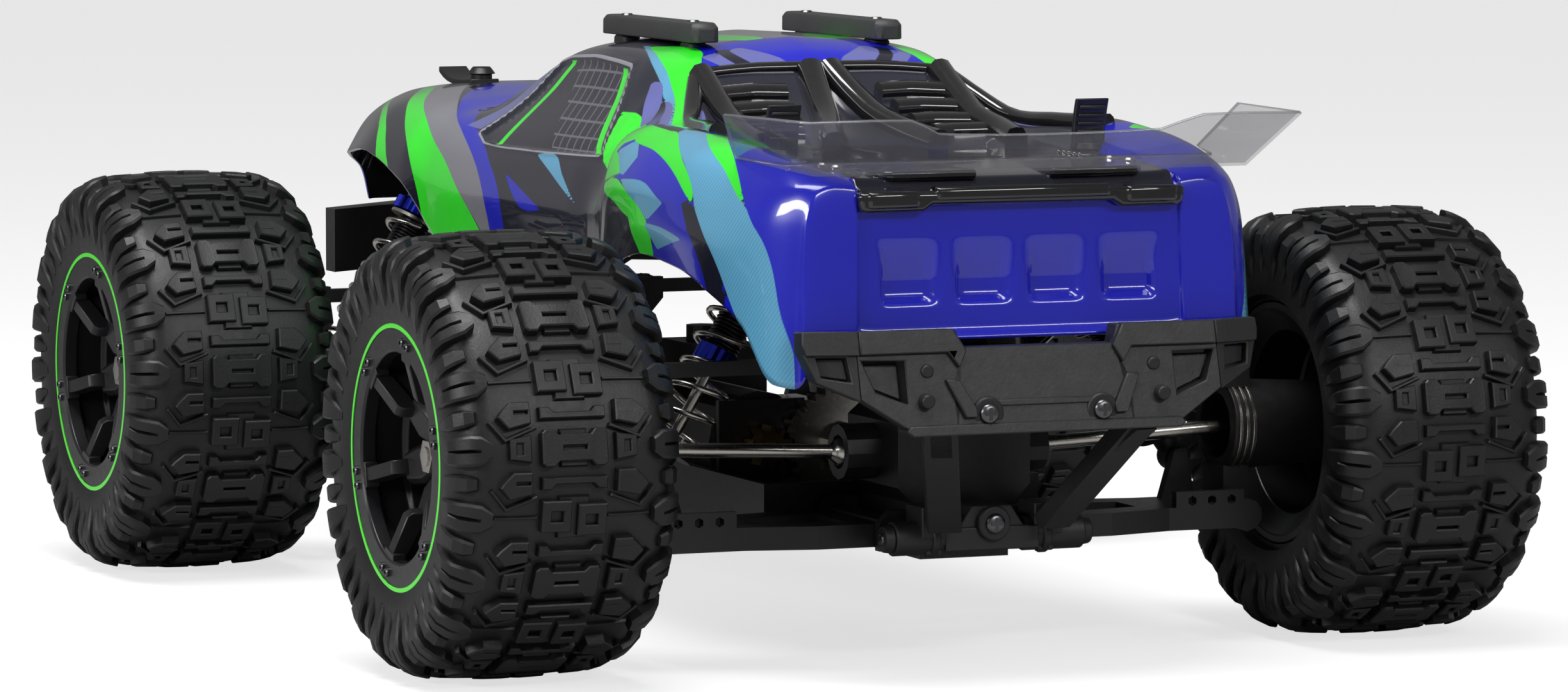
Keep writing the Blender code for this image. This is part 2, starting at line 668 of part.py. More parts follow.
def drive_train():
    """Centre shaft with spur gear, motor pinion and the motor."""
    z = CENTRE_SHAFT_Z
    distance = GEAR_MODULE * (SPUR_TEETH + PINION_TEETH) / 2
    reach = WHEELBASE / 2 - 14
    low, high = GEAR_X - GEAR_W / 2, GEAR_X + GEAR_W / 2
    spur = prism(gear_outline(SPUR_TEETH, 0.0, (0, z)), "X", low, high)
    shaft = join(
        rod((-reach, 0, z), (reach, 0, z), 2.5),
        spur,
        rod((low - 3, 0, z), (high + 3, 0, z), 6),
    )
    finish(shaft, "centre_driveshaft", "steel", (0, 0, z))

    # Half a tooth of phase puts a pinion gap opposite the spur's first tooth
    phase = math.pi + math.pi / PINION_TEETH
    pinion = join(
        prism(gear_outline(PINION_TEETH, phase, (distance, z)), "X", low, high),
        rod((low - 2, distance, z), (-51, distance, z), 1.5),
    )
    finish(pinion, "motor_pinion", "brass", (GEAR_X, distance, z))

    motor = join(
        rod((-56, distance, z), (-16, distance, z), MOTOR_R, segments=16),
        rod((-17, distance, z), (-13, distance, z), 4, segments=8),
    )
    motor = cut(motor, rod((-60, distance, z), (-49, distance, z), 1.9))
    mount = box((-58.6, -56.5), (distance - 12, distance + 12), (SEAT_Z, z + 12))
    mount = cut(mount, rod((-62, distance, z), (-50, distance, z), 2.6))
    bridge = box((-57.5, -54), (distance - 10, distance + 10), (31, 35))
    finish(join(motor, mount, bridge), "motor", "steel", (-36, distance, z))


def electrics():
    pack = box((-46, 44), (-33, -9), (SEAT_Z, 50))
    finish(pack, "battery_pack", "battery", bevel=1.5)
    case = box((4, 48), (9, 33), (SEAT_Z, 48), taper=(0.94, 0.9))
    fan = rod((26, 21, 47), (26, 21, 54), 9, segments=12)
    finish(join(case, fan), "speed_controller", "battery")
    servo = join(
        box((60, 94), (-30, -12), (SEAT_Z, 62)),
        box((56, 98), (-30, -12), (46, 49)),
        rod((86, -21, 61), (86, -21, 66), 4.5),
    )
    finish(servo, "steering_servo", "battery")


def steering():
    """Sliding rack across the truck and a tie rod to each knuckle."""
    z = RACK_Z
    link_x = AXLES["front"] + STEER_DX
    bar = box((RACK_X - 3, RACK_X + 2.6), (-RACK_HALF_Y - 3, RACK_HALF_Y + 3), (z - 2, z + 2))
    pins = [
        rod((RACK_X, s * RACK_HALF_Y, z), (link_x + 2.4, s * RACK_HALF_Y, z), 1.3, segments=8)
        for s in (-1, 1)
    ]
    finish(join(bar, *pins), "steering_rack", "plastic", (RACK_X, 0, z))
    for side, s in SIDES.items():
        inner, outer = s * RACK_HALF_Y, s * KINGPIN_Y
        rod_bar = rod((link_x, inner, z), (link_x, outer, z), 1.5, segments=6)
        eye = rod((link_x - 1.1, inner, z), (link_x + 1.9, inner, z), 3.2)
        end_eye = rod((link_x, outer, z - 2.2), (link_x, outer, z + 2.2), 3.2)
        tie = join(rod_bar, eye, end_eye)
        hole = rod((link_x - 4, inner, z), (link_x + 4, inner, z), 1.6, segments=8)
        finish(cut(tie, hole), f"tie_rod_{side}", "plastic", (link_x, inner, z))


# ---------- Body shell and what is fixed to it ----------

# Half sections from the middle of the top to the lower edge: (distance ahead of the rear axle,
# then nine (y, z) points: centre, top, top edge, upper side, belt, crown, widest, side, sill).
SECTIONS = (
    (
        -51,
        (0, 82), (20, 82), (40, 82), (46, 82), (54, 82),
        (56, 81), (57, 80), (58, 78), (58, 76),
    ),
    (
        -49,
        (0, 121), (20, 121), (40, 121), (46, 121.5), (54, 120),
        (57, 112), (58, 98), (58.5, 84), (59, 74),
    ),
    (
        -30,
        (0, 123), (20, 123), (40, 123), (46, 125), (55, 125.5),
        (62, 119), (66, 105), (66, 90), (65, 72),
    ),
    (
        0,
        (0, 124), (20, 124), (41, 124), (47, 128), (58, 131),
        (67, 124), (71, 108), (71, 92), (70, 72),
    ),
    (
        30,
        (0, 125), (20, 125), (42, 125.5), (48, 130), (58, 132.5),
        (67, 125), (72, 110), (71, 92), (69, 72),
    ),
    (
        55,
        (0, 131), (18, 131), (38, 131), (50, 130), (58, 130),
        (65, 121), (69, 108), (67, 88), (65, 70),
    ),
    (
        78,
        (0, 143), (18, 143), (36, 141), (46, 133), (56, 124),
        (60, 116), (63, 106), (63, 86), (62, 68),
    ),
    (
        86,
        (0, 150), (22, 149), (36, 147), (46, 136), (57, 124),
        (60, 115), (62, 104), (62, 86), (61, 66),
    ),
    (
        125,
        (0, 152), (22, 150.5), (37, 148), (47, 136), (57.5, 123.5),
        (61, 115), (63, 104), (62, 86), (61, 66),
    ),
    (
        156,
        (0, 150), (22, 149), (37, 146), (46, 135), (57, 124),
        (61, 115), (63, 104), (62, 86), (61, 66),
    ),
    (
        182,
        (0, 139.5), (22, 139), (41, 135.5), (48, 130), (56, 125),
        (60, 116), (62, 104), (62, 86), (61, 66),
    ),
    (
        206,
        (0, 129.5), (22, 129.5), (42, 128), (48, 127), (55, 124.5),
        (60, 116), (62, 104), (61.5, 88), (61, 70),
    ),
    (
        250,
        (0, 133), (22, 133), (38, 132), (46, 130.5), (53, 127),
        (59, 120), (63, 112), (63.5, 104), (63, 92),
    ),
    (
        285,
        (0, 131), (22, 131), (36, 130), (44, 127), (50, 122),
        (54, 114), (56, 108), (56.5, 102), (56.5, 96),
    ),
    (
        304,
        (0, 127), (22, 127), (33, 126), (39, 123), (45, 118),
        (48, 112), (50, 106), (50.5, 101), (51, 96),
    ),
    (
        312.5,
        (0, 120), (22, 120), (31, 119), (36, 117), (41, 113),
        (44, 108), (46, 104), (46.5, 100), (47, 96),
    ),
    (
        314.5,
        (0, 96), (20, 96), (28, 96), (33, 96), (38, 96),
        (41, 96), (43, 96), (44, 95.8), (45, 95.6),
    ),
)
ARCHES = {"front": 57.0, "rear": 50.0}


def body_shell():
    """Vacuum-formed body: a loft through the sections, thickened inwards, with wheel arches."""
    bm = bmesh.new()
    rows = []
    for ahead, *points in SECTIONS:
        x = ahead - WHEELBASE / 2
        left = [bm.verts.new((x, y, z)) for y, z in points]
        right = [bm.verts.new((x, -y, z)) for y, z in points[1:]]
        rows.append(right[::-1] + left)
    for near, far in zip(rows, rows[1:]):
        for i in range(len(near) - 1):
            bm.faces.new((near[i], near[i + 1], far[i + 1], far[i]))
    shell = from_bmesh(bm)
    thick = shell.modifiers.new("thickness", "SOLIDIFY")
    thick.thickness = SHELL_T * MM
    thick.offset = -1
    bpy.context.view_layer.update()
    shell.data = evaluated_mesh(shell)
    shell.modifiers.clear()
    cutters = []
    for end, radius in ARCHES.items():
        x = AXLES[end]
        for s in (-1, 1):
            cutters.append(rod((x, s * 44, AXLE_Z), (x, s * 90, AXLE_Z), radius, segments=28))
    for end, post_y in BODY_POST_Y.items():
        post_x = AXLES[end] + sum(TOWER_X) / 2
        for s in (-1, 1):
            cutters.append(rod((post_x, s * post_y, 115), (post_x, s * post_y, 140), 3.8, segments=8))
    finish(cut(shell, *cutters), "body_shell", "shell")


SKID_X, SKID_Y, SKID_Z = (-36.0, 32.0), (22.0, 30.0), (150.9, 156.0)


def roof_skids():
    """Two runners along the roof."""
    rear, front = SKID_X
    low, high = SKID_Z
    side_view = [(rear, low + 0.9), (rear + 1.5, low), (front - 1.5, low), (front, low + 0.9)]
    side_view += [(front - 1, high - 0.6), (front - 2, high), (rear + 2, high), (rear + 1, high - 0.6)]
    for side, s in SIDES.items():
        runner = prism(side_view, "Y", *between(s * SKID_Y[0], s * SKID_Y[1]))
        finish(runner, f"roof_skid_{side}", "skid", (0, s * 26, 150))


def spoiler():
    """Clear sheet folded up into a notched rear lip with two flared end plates."""
    rear = -WHEELBASE / 2
    columns = (
        # y at the fold, then (x, y, z) of the lip's top edge
        (0, (-64, 0, 134)),
        (25, (-64, 25, 134)),
        (37, (-71, 38, 139)),
        (57, (-74, 65, 139)),
    )
    bm = bmesh.new()
    rows = []
    for s, picked in ((-1, columns[:0:-1]), (1, columns)):
        for y, lip in picked:
            front = bm.verts.new((rear - 38, s * y, 127.4))
            fold = bm.verts.new((rear - 57, s * y, 126.4))
            top = bm.verts.new((rear + lip[0], s * lip[1], lip[2]))
            rows.append((front, fold, top))
    for near, far in zip(rows, rows[1:]):
        for i in range(2):
            bm.faces.new((near[i], near[i + 1], far[i + 1], far[i]))
    for s, (front, fold, top) in ((-1, rows[0]), (1, rows[-1])):
        low = bm.verts.new((rear - 20, s * 61.5, 132))
        high = bm.verts.new((rear - 29, s * 72, 139.5))
        bm.faces.new((front, fold, top, high, low))
    sheet = from_bmesh(bm)
    thick = sheet.modifiers.new("thickness", "SOLIDIFY")
    thick.thickness = SHELL_T * MM
    thick.offset = 0
    bpy.context.view_layer.update()
    sheet.data = evaluated_mesh(sheet)
    sheet.modifiers.clear()
    finish(sheet, "rear_spoiler", "clear")


for axle_end in AXLES:
    gearbox(axle_end)
    for wheel_side in SIDES:
        wheel_set(axle_end, wheel_side)
        lower_arm(axle_end, wheel_side)
        upper_link(axle_end, wheel_side)
        shock(axle_end, wheel_side)
        driveshaft(axle_end, wheel_side)
for wheel_side in SIDES:
    rear_hub(wheel_side)
    front_hub(wheel_side)
chassis()
rear_bumper()
front_bumper()
drive_train()
electrics()
steering()
body_shell()
roof_skids()
spoiler()
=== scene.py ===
"""Looks of the radio-controlled monster truck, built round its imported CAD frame.

Sizes are in millimetres in the frame's axes (+X forward, +Y left, +Z up); MM makes them metres.
"""

import math

import bmesh
import bpy
import numpy as np
from mathutils import Matrix, Vector
from mathutils.geometry import tessellate_polygon


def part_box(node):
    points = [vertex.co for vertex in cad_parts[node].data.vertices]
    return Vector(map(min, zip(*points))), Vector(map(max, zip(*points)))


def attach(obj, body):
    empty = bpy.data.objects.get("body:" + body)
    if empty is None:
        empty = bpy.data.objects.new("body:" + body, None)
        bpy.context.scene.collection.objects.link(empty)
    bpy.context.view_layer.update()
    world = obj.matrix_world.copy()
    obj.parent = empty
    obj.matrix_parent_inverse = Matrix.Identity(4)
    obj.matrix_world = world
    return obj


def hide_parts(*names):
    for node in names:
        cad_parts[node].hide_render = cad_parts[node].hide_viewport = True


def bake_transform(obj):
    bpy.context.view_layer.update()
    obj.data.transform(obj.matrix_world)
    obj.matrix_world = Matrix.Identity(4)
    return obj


MM = 0.001
AXLE_X = {"front": 127.0, "rear": -127.0}
SIDES = {"left": 1, "right": -1}
CORNERS = [(end, side) for end in AXLE_X for side in SIDES]
TRACK_HALF, AXLE_Z = 118.0, 55.0

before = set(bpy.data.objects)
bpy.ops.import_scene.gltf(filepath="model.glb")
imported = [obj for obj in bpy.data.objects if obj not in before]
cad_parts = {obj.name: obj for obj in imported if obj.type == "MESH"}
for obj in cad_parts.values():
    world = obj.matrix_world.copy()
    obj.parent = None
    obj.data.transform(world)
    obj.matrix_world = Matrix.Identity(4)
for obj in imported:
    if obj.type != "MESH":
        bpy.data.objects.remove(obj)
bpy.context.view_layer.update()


# ---------- Materials ----------


class Nodes:
    """A short way to write a material's node tree."""

    def __init__(self, name):
        self.material = bpy.data.materials.new(name)
        self.material.use_nodes = True
        self.tree = self.material.node_tree
        self.shader = self.tree.nodes["Principled BSDF"]

    def add(self, kind, inputs=None, **settings):
        node = self.tree.nodes.new(kind)
        for key, value in settings.items():
            setattr(node, key, value)
        for key, value in (inputs or {}).items():
            self.feed(node.inputs[key], value)
        return node

    def feed(self, socket, value):
        if isinstance(value, bpy.types.NodeSocket):
            self.tree.links.new(value, socket)
        else:
            socket.default_value = value

    def set(self, **inputs):
        for key, value in inputs.items():
            self.feed(self.shader.inputs[key.replace("_", " ")], value)

    def math(self, operation, a, b=0.0):
        node = self.add("ShaderNodeMath", operation=operation)
        self.feed(node.inputs[0], a)
        self.feed(node.inputs[1], b)
        return node.outputs[0]

    def mix(self, factor, a, b):
        node = self.add("ShaderNodeMix", data_type="RGBA")
        self.feed(node.inputs[0], factor)
        self.feed(node.inputs[6], a)
        self.feed(node.inputs[7], b)
        return node.outputs[2]

    def noise(self, scale, detail=3.0, roughness=0.5):
        place = self.add("ShaderNodeTexCoord").outputs["Object"]
        inputs = {"Vector": place, "Scale": scale, "Detail": detail, "Roughness": roughness}
        return self.add("ShaderNodeTexNoise", inputs).outputs[0]

    def spread(self, value, low, high):
        """value, seen as 0 to 1, spread between low and high."""
        inputs = {"Value": value, "To Min": low, "To Max": high}
        return self.add("ShaderNodeMapRange", inputs).outputs[0]

    def bump(self, height, distance, strength=0.5):
        inputs = {"Height": height, "Distance": distance * MM, "Strength": strength}
        self.set(Normal=self.add("ShaderNodeBump", inputs).outputs[0])


def rgb(*values):
    return (*values, 1.0)


def grained(name, dark, light, rough, grain_scale, grain_depth, wear=0.0):
    """Moulded or cast stuff: mottled colour, uneven gloss, fine grain and paler edges."""
    n = Nodes(name)
    colour = n.mix(n.noise(90.0), rgb(*dark), rgb(*light))
    if wear:
        edges = n.add("ShaderNodeNewGeometry").outputs["Pointiness"]
        inputs = {"Value": edges, "From Min": 0.52, "From Max": 0.62}
        edge = n.add("ShaderNodeMapRange", inputs).outputs[0]
        pale = rgb(*(min(1.0, c * 3 + 0.02) for c in light))
        colour = n.mix(n.math("MULTIPLY", edge, wear), colour, pale)
    n.set(Base_Color=colour, Roughness=n.spread(n.noise(grain_scale / 3), rough - 0.08, rough + 0.08))
    n.bump(n.noise(grain_scale, 4.0, 0.65), grain_depth)
    return n.material


def brushed(name, colour, rough):
    """Turned or drawn metal with fine streaks along X."""
    n = Nodes(name)
    place = n.add("ShaderNodeTexCoord").outputs["Object"]
    stretch = n.add("ShaderNodeMapping", {"Vector": place, "Scale": (30.0, 900.0, 900.0)}).outputs[0]
    streak = n.add("ShaderNodeTexNoise", {"Vector": stretch, "Scale": 1.0, "Detail": 2.0}).outputs[0]
    n.set(Base_Color=n.mix(streak, rgb(*(c * 0.8 for c in colour)), rgb(*colour)), Metallic=1.0)
    n.set(Roughness=n.spread(streak, rough - 0.06, rough + 0.1))
    n.bump(streak, 0.02, 0.3)
    return n.material


def glossy(name, colour, rough, coat):
    """Smooth painted or polished plastic with faint dust and orange peel."""
    n = Nodes(name)
    dust = n.noise(500.0, 5.0, 0.7)
    dusty = rgb(*(c + 0.02 for c in colour))
    n.set(Base_Color=n.mix(n.math("MULTIPLY", dust, 0.25), rgb(*colour), dusty))
    n.set(Roughness=n.spread(dust, rough, rough + 0.1), Coat_Weight=coat, Coat_Roughness=0.04)
    n.bump(n.noise(140.0, 2.0), 0.05, 0.15)
    return n.material


def clear_sheet(name, least, most):
    """Thin clear polycarbonate with a faint smoky tint, opaque from least to most, and handling marks."""
    n = Nodes(name)
    smear = n.noise(14.0, 1.0, 0.4)
    n.set(Base_Color=rgb(0.2, 0.2, 0.22), Roughness=n.spread(smear, 0.04, 0.12))
    n.set(Alpha=n.spread(smear, least, most), Coat_Weight=0.5, Coat_Roughness=0.05)
    n.bump(n.noise(20.0, 1.0), 0.2, 0.1)
    return n.material


# Dark and light colour, roughness, grain scale, grain depth in mm, how much paler the edges are worn
RUBBER = grained("rubber", (0.003, 0.003, 0.004), (0.009, 0.009, 0.010), 0.44, 1500.0, 0.12)
RIM_PLASTIC = grained("rim_plastic", (0.006, 0.006, 0.007), (0.013, 0.013, 0.015), 0.34, 1400.0, 0.06, 0.2)
PLASTIC = grained("moulded_plastic", (0.005, 0.005, 0.006), (0.011, 0.011, 0.012), 0.42, 1200.0, 0.07)
BUMPER_PLASTIC = grained(
    "bumper_plastic", (0.005, 0.005, 0.006), (0.012, 0.012, 0.013), 0.5, 900.0, 0.16, 0.15
)
SKID_PLASTIC = grained("skid_plastic", (0.022, 0.022, 0.023), (0.036, 0.036, 0.038), 0.55, 1100.0, 0.12, 0.15)
CASE = grained("electronics_case", (0.012, 0.012, 0.014), (0.022, 0.022, 0.026), 0.4, 800.0, 0.08)
# Colour, roughness and, for the glossy ones, the weight of the clear coat
GREEN = glossy("green_paint", (0.10, 1.0, 0.03), 0.25, 0.3)
GLOSS_BLACK = glossy("gloss_black", (0.005, 0.005, 0.006), 0.1, 1.0)
WRAP = glossy("battery_wrap", (0.02, 0.05, 0.16), 0.25, 0.4)
BRASS = brushed("brass", (0.42, 0.28, 0.1), 0.3)
MOTOR_CAN = brushed("motor_can", (0.1, 0.1, 0.105), 0.35)
BLUE_ALLOY = brushed("blue_alloy", (0.03, 0.05, 0.62), 0.22)
DARK_METAL = brushed("dark_barrel", (0.05, 0.05, 0.055), 0.3)
STEEL = brushed("steel", (0.66, 0.63, 0.58), 0.22)
SCREW = brushed("dark_screw", (0.16, 0.16, 0.17), 0.28)


# ---------- Meshes ----------


def round_edges(obj, width, sharper_than):
    """Edges sharper than an angle in degrees are rounded over width mm."""
    rounding = obj.modifiers.new("rounding", "BEVEL")
    rounding.width = width * MM
    rounding.segments = 2
    rounding.angle_limit = math.radians(sharper_than)


def thicken(obj, thickness, offset):
    """A sheet given its thickness in mm; offset -1 is all inwards and 0 half each way."""
    sheet = obj.modifiers.new("sheet", "SOLIDIFY")
    sheet.thickness = thickness * MM
    sheet.offset = offset
    return sheet


def piece(name, bm, body, material, slot, replaces=(), bevel=0.0, smooth=35.0, at=(0, 0, 0)):
    """A finished piece riding on a body. bm holds millimetres, relative to the point `at`."""
    bmesh.ops.recalc_face_normals(bm, faces=bm.faces)
    bmesh.ops.scale(bm, vec=(MM, MM, MM), verts=bm.verts)
    mesh = bpy.data.meshes.new(name)
    bm.to_mesh(mesh)
    bm.free()
    mesh.polygons.foreach_set("use_smooth", [True] * len(mesh.polygons))
    mesh.set_sharp_from_angle(angle=math.radians(smooth))
    mesh.materials.append(material)
    obj = bpy.data.objects.new(name, mesh)
    bpy.context.scene.collection.objects.link(obj)
    obj.location = Vector(at) * MM
    if bevel:
        round_edges(obj, bevel, 40)
    if body:
        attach(obj, body)
    if replaces:
        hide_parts(*replaces)
    return obj


def mirror(bm, s):
    """A mesh made for the left stays there for s = 1 and goes to the right for s = -1."""
    bmesh.ops.scale(bm, vec=(1, s, 1), verts=bm.verts)


def rings(bm, loops, closed=False):
    """Quads between equal loops of points; closed joins the last loop back to the first."""
    made = [[bm.verts.new(p) for p in loop] for loop in loops]
    pairs = list(zip(made, made[1:]))
    if closed:
        pairs.append((made[-1], made[0]))
    for near, far in pairs:
        for i in range(len(near)):
            j = (i + 1) % len(near)
            bm.faces.new((near[i], near[j], far[j], far[i]))
    if not closed:
        bm.faces.new(made[0][::-1])
        bm.faces.new(made[-1])


def around_circle(steps):
    """(cos, sin) of each step round a circle."""
    return [(math.cos(math.tau * k / steps), math.sin(math.tau * k / steps)) for k in range(steps)]


def lathe(bm, profile, steps):
    """A closed (y, radius) profile turned about the Y axis."""
    rings(bm, [[(r * c, y, r * s) for y, r in profile] for c, s in around_circle(steps)], closed=True)


def turned(bm, start, towards, profile, steps=20, ribs=0, rib_depth=0.0):
    """A solid turned about the line from start in a direction; profile is (mm along, radius)."""
    turn = Vector(towards).to_track_quat("Z", "Y").to_matrix()
    loops = []
    for along, r in profile:
        loop = []
        for k, (c, s) in enumerate(around_circle(steps)):
            reach = r - (rib_depth if k * ribs * 2 // steps % 2 else 0)
            loop.append(Vector(start) + turn @ Vector((reach * c, reach * s, along)))
        loops.append(loop)
    rings(bm, loops)


def cylinder(bm, start, end, r, r_end=None, steps=20):
    towards = Vector(end) - Vector(start)
    turned(bm, start, towards, ((0, r), (towards.length, r_end or r)), steps)


def screw_head(bm, centre, outward, r, height):
    """A cap screw: a round head with a sunk hexagon socket."""
    head = ((-0.4, r), (height - 0.25 * r, r), (height, r * 0.8))
    turned(bm, centre, outward, head + ((height, r * 0.52), (height * 0.35, r * 0.5)), 14)


def extrude(bm, outline, axis, low, high):
    """A flat outline, drawn in the plane across axis, made solid from low to high along it."""
    n = "XYZ".index(axis)
    rings(bm, [[(*corner[:n], level, *corner[n:]) for corner in outline] for level in (low, high)])


def block(bm, x, y, z):
    """A box between two places on each axis."""
    (x0, x1), (y0, y1) = x, sorted(y)
    extrude(bm, [(x0, y0), (x1, y0), (x1, y1), (x0, y1)], "Z", *z)


# ---------- Tyres ----------

TREAD_R = 55.0
FLOOR_R, CROWN_HALF, CROWN_DROP = 52.5, 20.0, 0.9
SHOULDER_R, SHOULDER_TO = 8.0, math.radians(75)
WALL_R, WALL_TO = 22.0, math.radians(109)
CROWN_SLOPE = 2 * CROWN_DROP / CROWN_HALF
PITCHES = 10
PITCH = math.tau * TREAD_R / PITCHES
LUG_H, MID_H, LOW_H = 2.5, 2.0, 1.1  # heights of the tread's blocks


def tyre_surface(s):
    """(y, radius) and outward normal of the smooth carcass at s mm across from the crown."""
    if s <= CROWN_HALF:
        slope = CROWN_SLOPE * s / CROWN_HALF
        drop = CROWN_DROP * (s / CROWN_HALF) ** 2
        return s, FLOOR_R - drop, math.sin(slope), math.cos(slope)
    angle = CROWN_SLOPE + (s - CROWN_HALF) / SHOULDER_R
    y, r, start, radius = CROWN_HALF, FLOOR_R - CROWN_DROP, CROWN_SLOPE, SHOULDER_R
    if angle > SHOULDER_TO:
        y += radius * (math.sin(SHOULDER_TO) - math.sin(start))
        r += radius * (math.cos(SHOULDER_TO) - math.cos(start))
        used = (SHOULDER_TO - CROWN_SLOPE) * SHOULDER_R
        start, radius = SHOULDER_TO, WALL_R
        angle = min(WALL_TO, SHOULDER_TO + (s - CROWN_HALF - used) / WALL_R)
    y += radius * (math.sin(angle) - math.sin(start))
    r += radius * (math.cos(angle) - math.cos(start))
    return y, r, math.sin(angle), math.cos(angle)


def on_tyre(u, v, h):
    """A point u mm round the tyre, v mm across it and h mm above the carcass."""
    y, r, ny, nr = tyre_surface(abs(v))
    y, r = y + ny * h, r + nr * h
    a = u / TREAD_R
    return (-r * math.cos(a), math.copysign(y, v), r * math.sin(a))


def inset(outline, d):
    """The outline moved inwards by d, mitred; a clockwise outline moves outwards."""
    moved = []
    count = len(outline)
    for i in range(count):
        before, here, after = (Vector(outline[k % count]) for k in (i - 1, i, i + 1))
        e1, e2 = (here - before).normalized(), (after - here).normalized()
        n1, n2 = Vector((-e1.y, e1.x)), Vector((-e2.y, e2.x))
        middle = n1 + n2
        middle *= d / max(0.3, 1 + n1.dot(n2))
        moved.append(tuple(here + middle))
    return moved


def counter_clockwise(outline):
    area = sum(a[0] * b[1] - b[0] * a[1] for a, b in zip(outline, outline[1:] + outline[:1]))
    return outline if area > 0 else outline[::-1]


BLOCK_ROOT, BLOCK_DRAFT, SLOT_DRAFT = -0.4, -0.25, 0.12
SLIT_DEPTH, LUG_EDGE, LUG_ROOT = 1.7, 0.7, -0.5


def tread_block(bm, outline, height, holes=(), depth=1.5, chamfer=0.35):
    """A raised block with drafted, chamfered sides and sunk slots, laid on the carcass."""
    outline = counter_clockwise(outline)
    holes = [counter_clockwise(hole)[::-1] for hole in holes]
    tops = []
    for loop, low in [(outline, BLOCK_ROOT)] + [(hole, height - depth) for hole in holes]:
        levels = (
            (inset(loop, BLOCK_DRAFT if loop is outline else SLOT_DRAFT), low),
            (loop, height - chamfer),
            (inset(loop, chamfer * 0.8), height),
        )
        made = [[bm.verts.new(on_tyre(u, v, h)) for u, v in points] for points, h in levels]
        for near, far in zip(made, made[1:]):
            for i in range(len(loop)):
                j = (i + 1) % len(loop)
                bm.faces.new((near[i], near[j], far[j], far[i]))
        bm.faces.new(made[0])
        tops.append((levels[2][0], made[2]))
    corners = [vert for _, verts in tops for vert in verts]
    for a, b, c in tessellate_polygon([[(u, v, 0) for u, v in points] for points, _ in tops]):
        bm.faces.new((corners[a], corners[b], corners[c]))


def shoulder_lug(bm, u, side, stations, slit):
    """A lug that wraps over the shoulder: stations are (v, half width, height)."""
    loops = []
    for v, w, h in stations:
        cut = SLIT_DEPTH if slit and slit[0] < v < slit[1] else 0.0
        edge = min(LUG_EDGE, w * 0.3)
        half = ((-w - 0.2, LUG_ROOT), (-w, h - 0.5), (edge - w, h), (-0.5, h))
        section = half + ((0, h - cut),) + tuple((-a, b) for a, b in reversed(half))
        loops.append([on_tyre(u + a, side * v, b) for a, b in section])
    rings(bm, loops)


def rib(bm, points, half_width, height):
    """A narrow raised line along (u, v) points."""
    for (u1, v1), (u2, v2) in zip(points, points[1:]):
        along = Vector((u2 - u1, v2 - v1)).normalized()
        n = Vector((-along.y, along.x)) * half_width
        start, end = Vector((u1, v1)) - along * RIB_END, Vector((u2, v2)) + along * RIB_END
        quad = [tuple(corner) for corner in (start + n, end + n, end - n, start - n)]
        tread_block(bm, quad, height, chamfer=0.2)


def mirrored(half):
    """A half outline on the +v side completed by its mirror image."""
    return half + [(u, -v) for u, v in reversed(half)]


RIB_END = 0.3  # how far a rib runs on past its points
WIDE_BLOCK = mirrored(
    [(3.2, 4.0), (4.5, 5.2), (4.5, 7.4), (3.7, 8.2), (-3.7, 8.2), (-4.5, 7.4), (-4.5, 5.2), (-3.2, 4.0)]
)
BAR = mirrored([(0.2, 4.8), (1.5, 6.0), (1.5, 8.2), (-1.4, 8.2)])
PENTAGON = [(0.6, 3.2), (2.9, 0.8), (2.9, -3.7), (-2.4, -3.9), (-3.6, 1.7), (-0.7, 4.1)]
STEP_BLOCK = [(3.3, -2.6), (2.5, 2.6), (-2.5, 2.6), (-3.3, -2.6)]
WIDE_LUG = (
    (20.3, 1.8, LUG_H), (22.4, 3.6, LUG_H), (24.4, 3.9, 2.7), (27.0, 3.9, 2.9),
    (29.5, 3.7, 2.6), (32.0, 3.3, 1.8), (35.0, 2.7, 0.9), (38.5, 1.9, 0.1),
)
THIN_LUG = (
    (23.6, 1.6, 1.2), (25.6, 2.3, 1.9), (28.0, 2.5, 2.1),
    (31.0, 2.3, 1.6), (34.5, 1.8, 0.8), (37.5, 1.2, 0.1),
)
LUG_SLIT = (23.0, 28.6)
STEP_V, PENTAGON_V = 13.4, 14.6  # how far off the crown these blocks sit
FENCE = [(-3.4, -5.0), (-6.3, 2.4), (-1.8, 5.8)]


def shifted(outline, u, v, side=1):
    return [(u + a, side * (v + b)) for a, b in outline]


def rectangle(u, v, half_u, half_v):
    return shifted([(-half_u, -half_v), (half_u, -half_v), (half_u, half_v), (-half_u, half_v)], u, v)


def tread_pitch(bm, u):
    """One repeat of the tread: a wide block row, a twin square row and the bars between them."""
    half = PITCH / 2
    tread_block(bm, shifted(WIDE_BLOCK, u, 0), LUG_H, holes=[rectangle(u, 0, 0.5, 3.0)])
    tread_block(bm, rectangle(u, 0, 4.6, 3.4), LOW_H)
    tread_block(bm, rectangle(u + half, 0, 5.3, 3.8), LOW_H + 0.1)
    for side in (-1, 1):
        centre = u + half + side * 0.5
        square = rectangle(centre, side * 4.5, 3.9, 3.65)
        tread_block(bm, square, LUG_H, holes=[rectangle(centre, side * 4.4, 1.3, 1.5)])
        dent = shifted(rectangle(0, 0.2, 1.4, 0.8), u, STEP_V, side)
        tread_block(bm, shifted(STEP_BLOCK, u, STEP_V, side), MID_H, holes=[dent], depth=0.8)
        rib(bm, [(u + half, side * 9.2), (u + half, side * 19.5)], 0.35, 0.8)
        for row, flip in ((u + half / 2, 1), (u - half / 2, -1)):
            if side > 0:
                tread_block(bm, [(row + flip * a, b) for a, b in BAR], MID_H)
            slot = shifted(rectangle(0.3, -1.6, 0.35, 1.7), row, PENTAGON_V, side)
            tread_block(bm, shifted(PENTAGON, row, PENTAGON_V, side), LUG_H, holes=[slot])
            rib(bm, shifted(FENCE, row, PENTAGON_V, side), 0.4, 1.5)
            shoulder_lug(bm, row, side, THIN_LUG, None)
        for row in (u, u + half):
            shoulder_lug(bm, row, side, WIDE_LUG, LUG_SLIT)


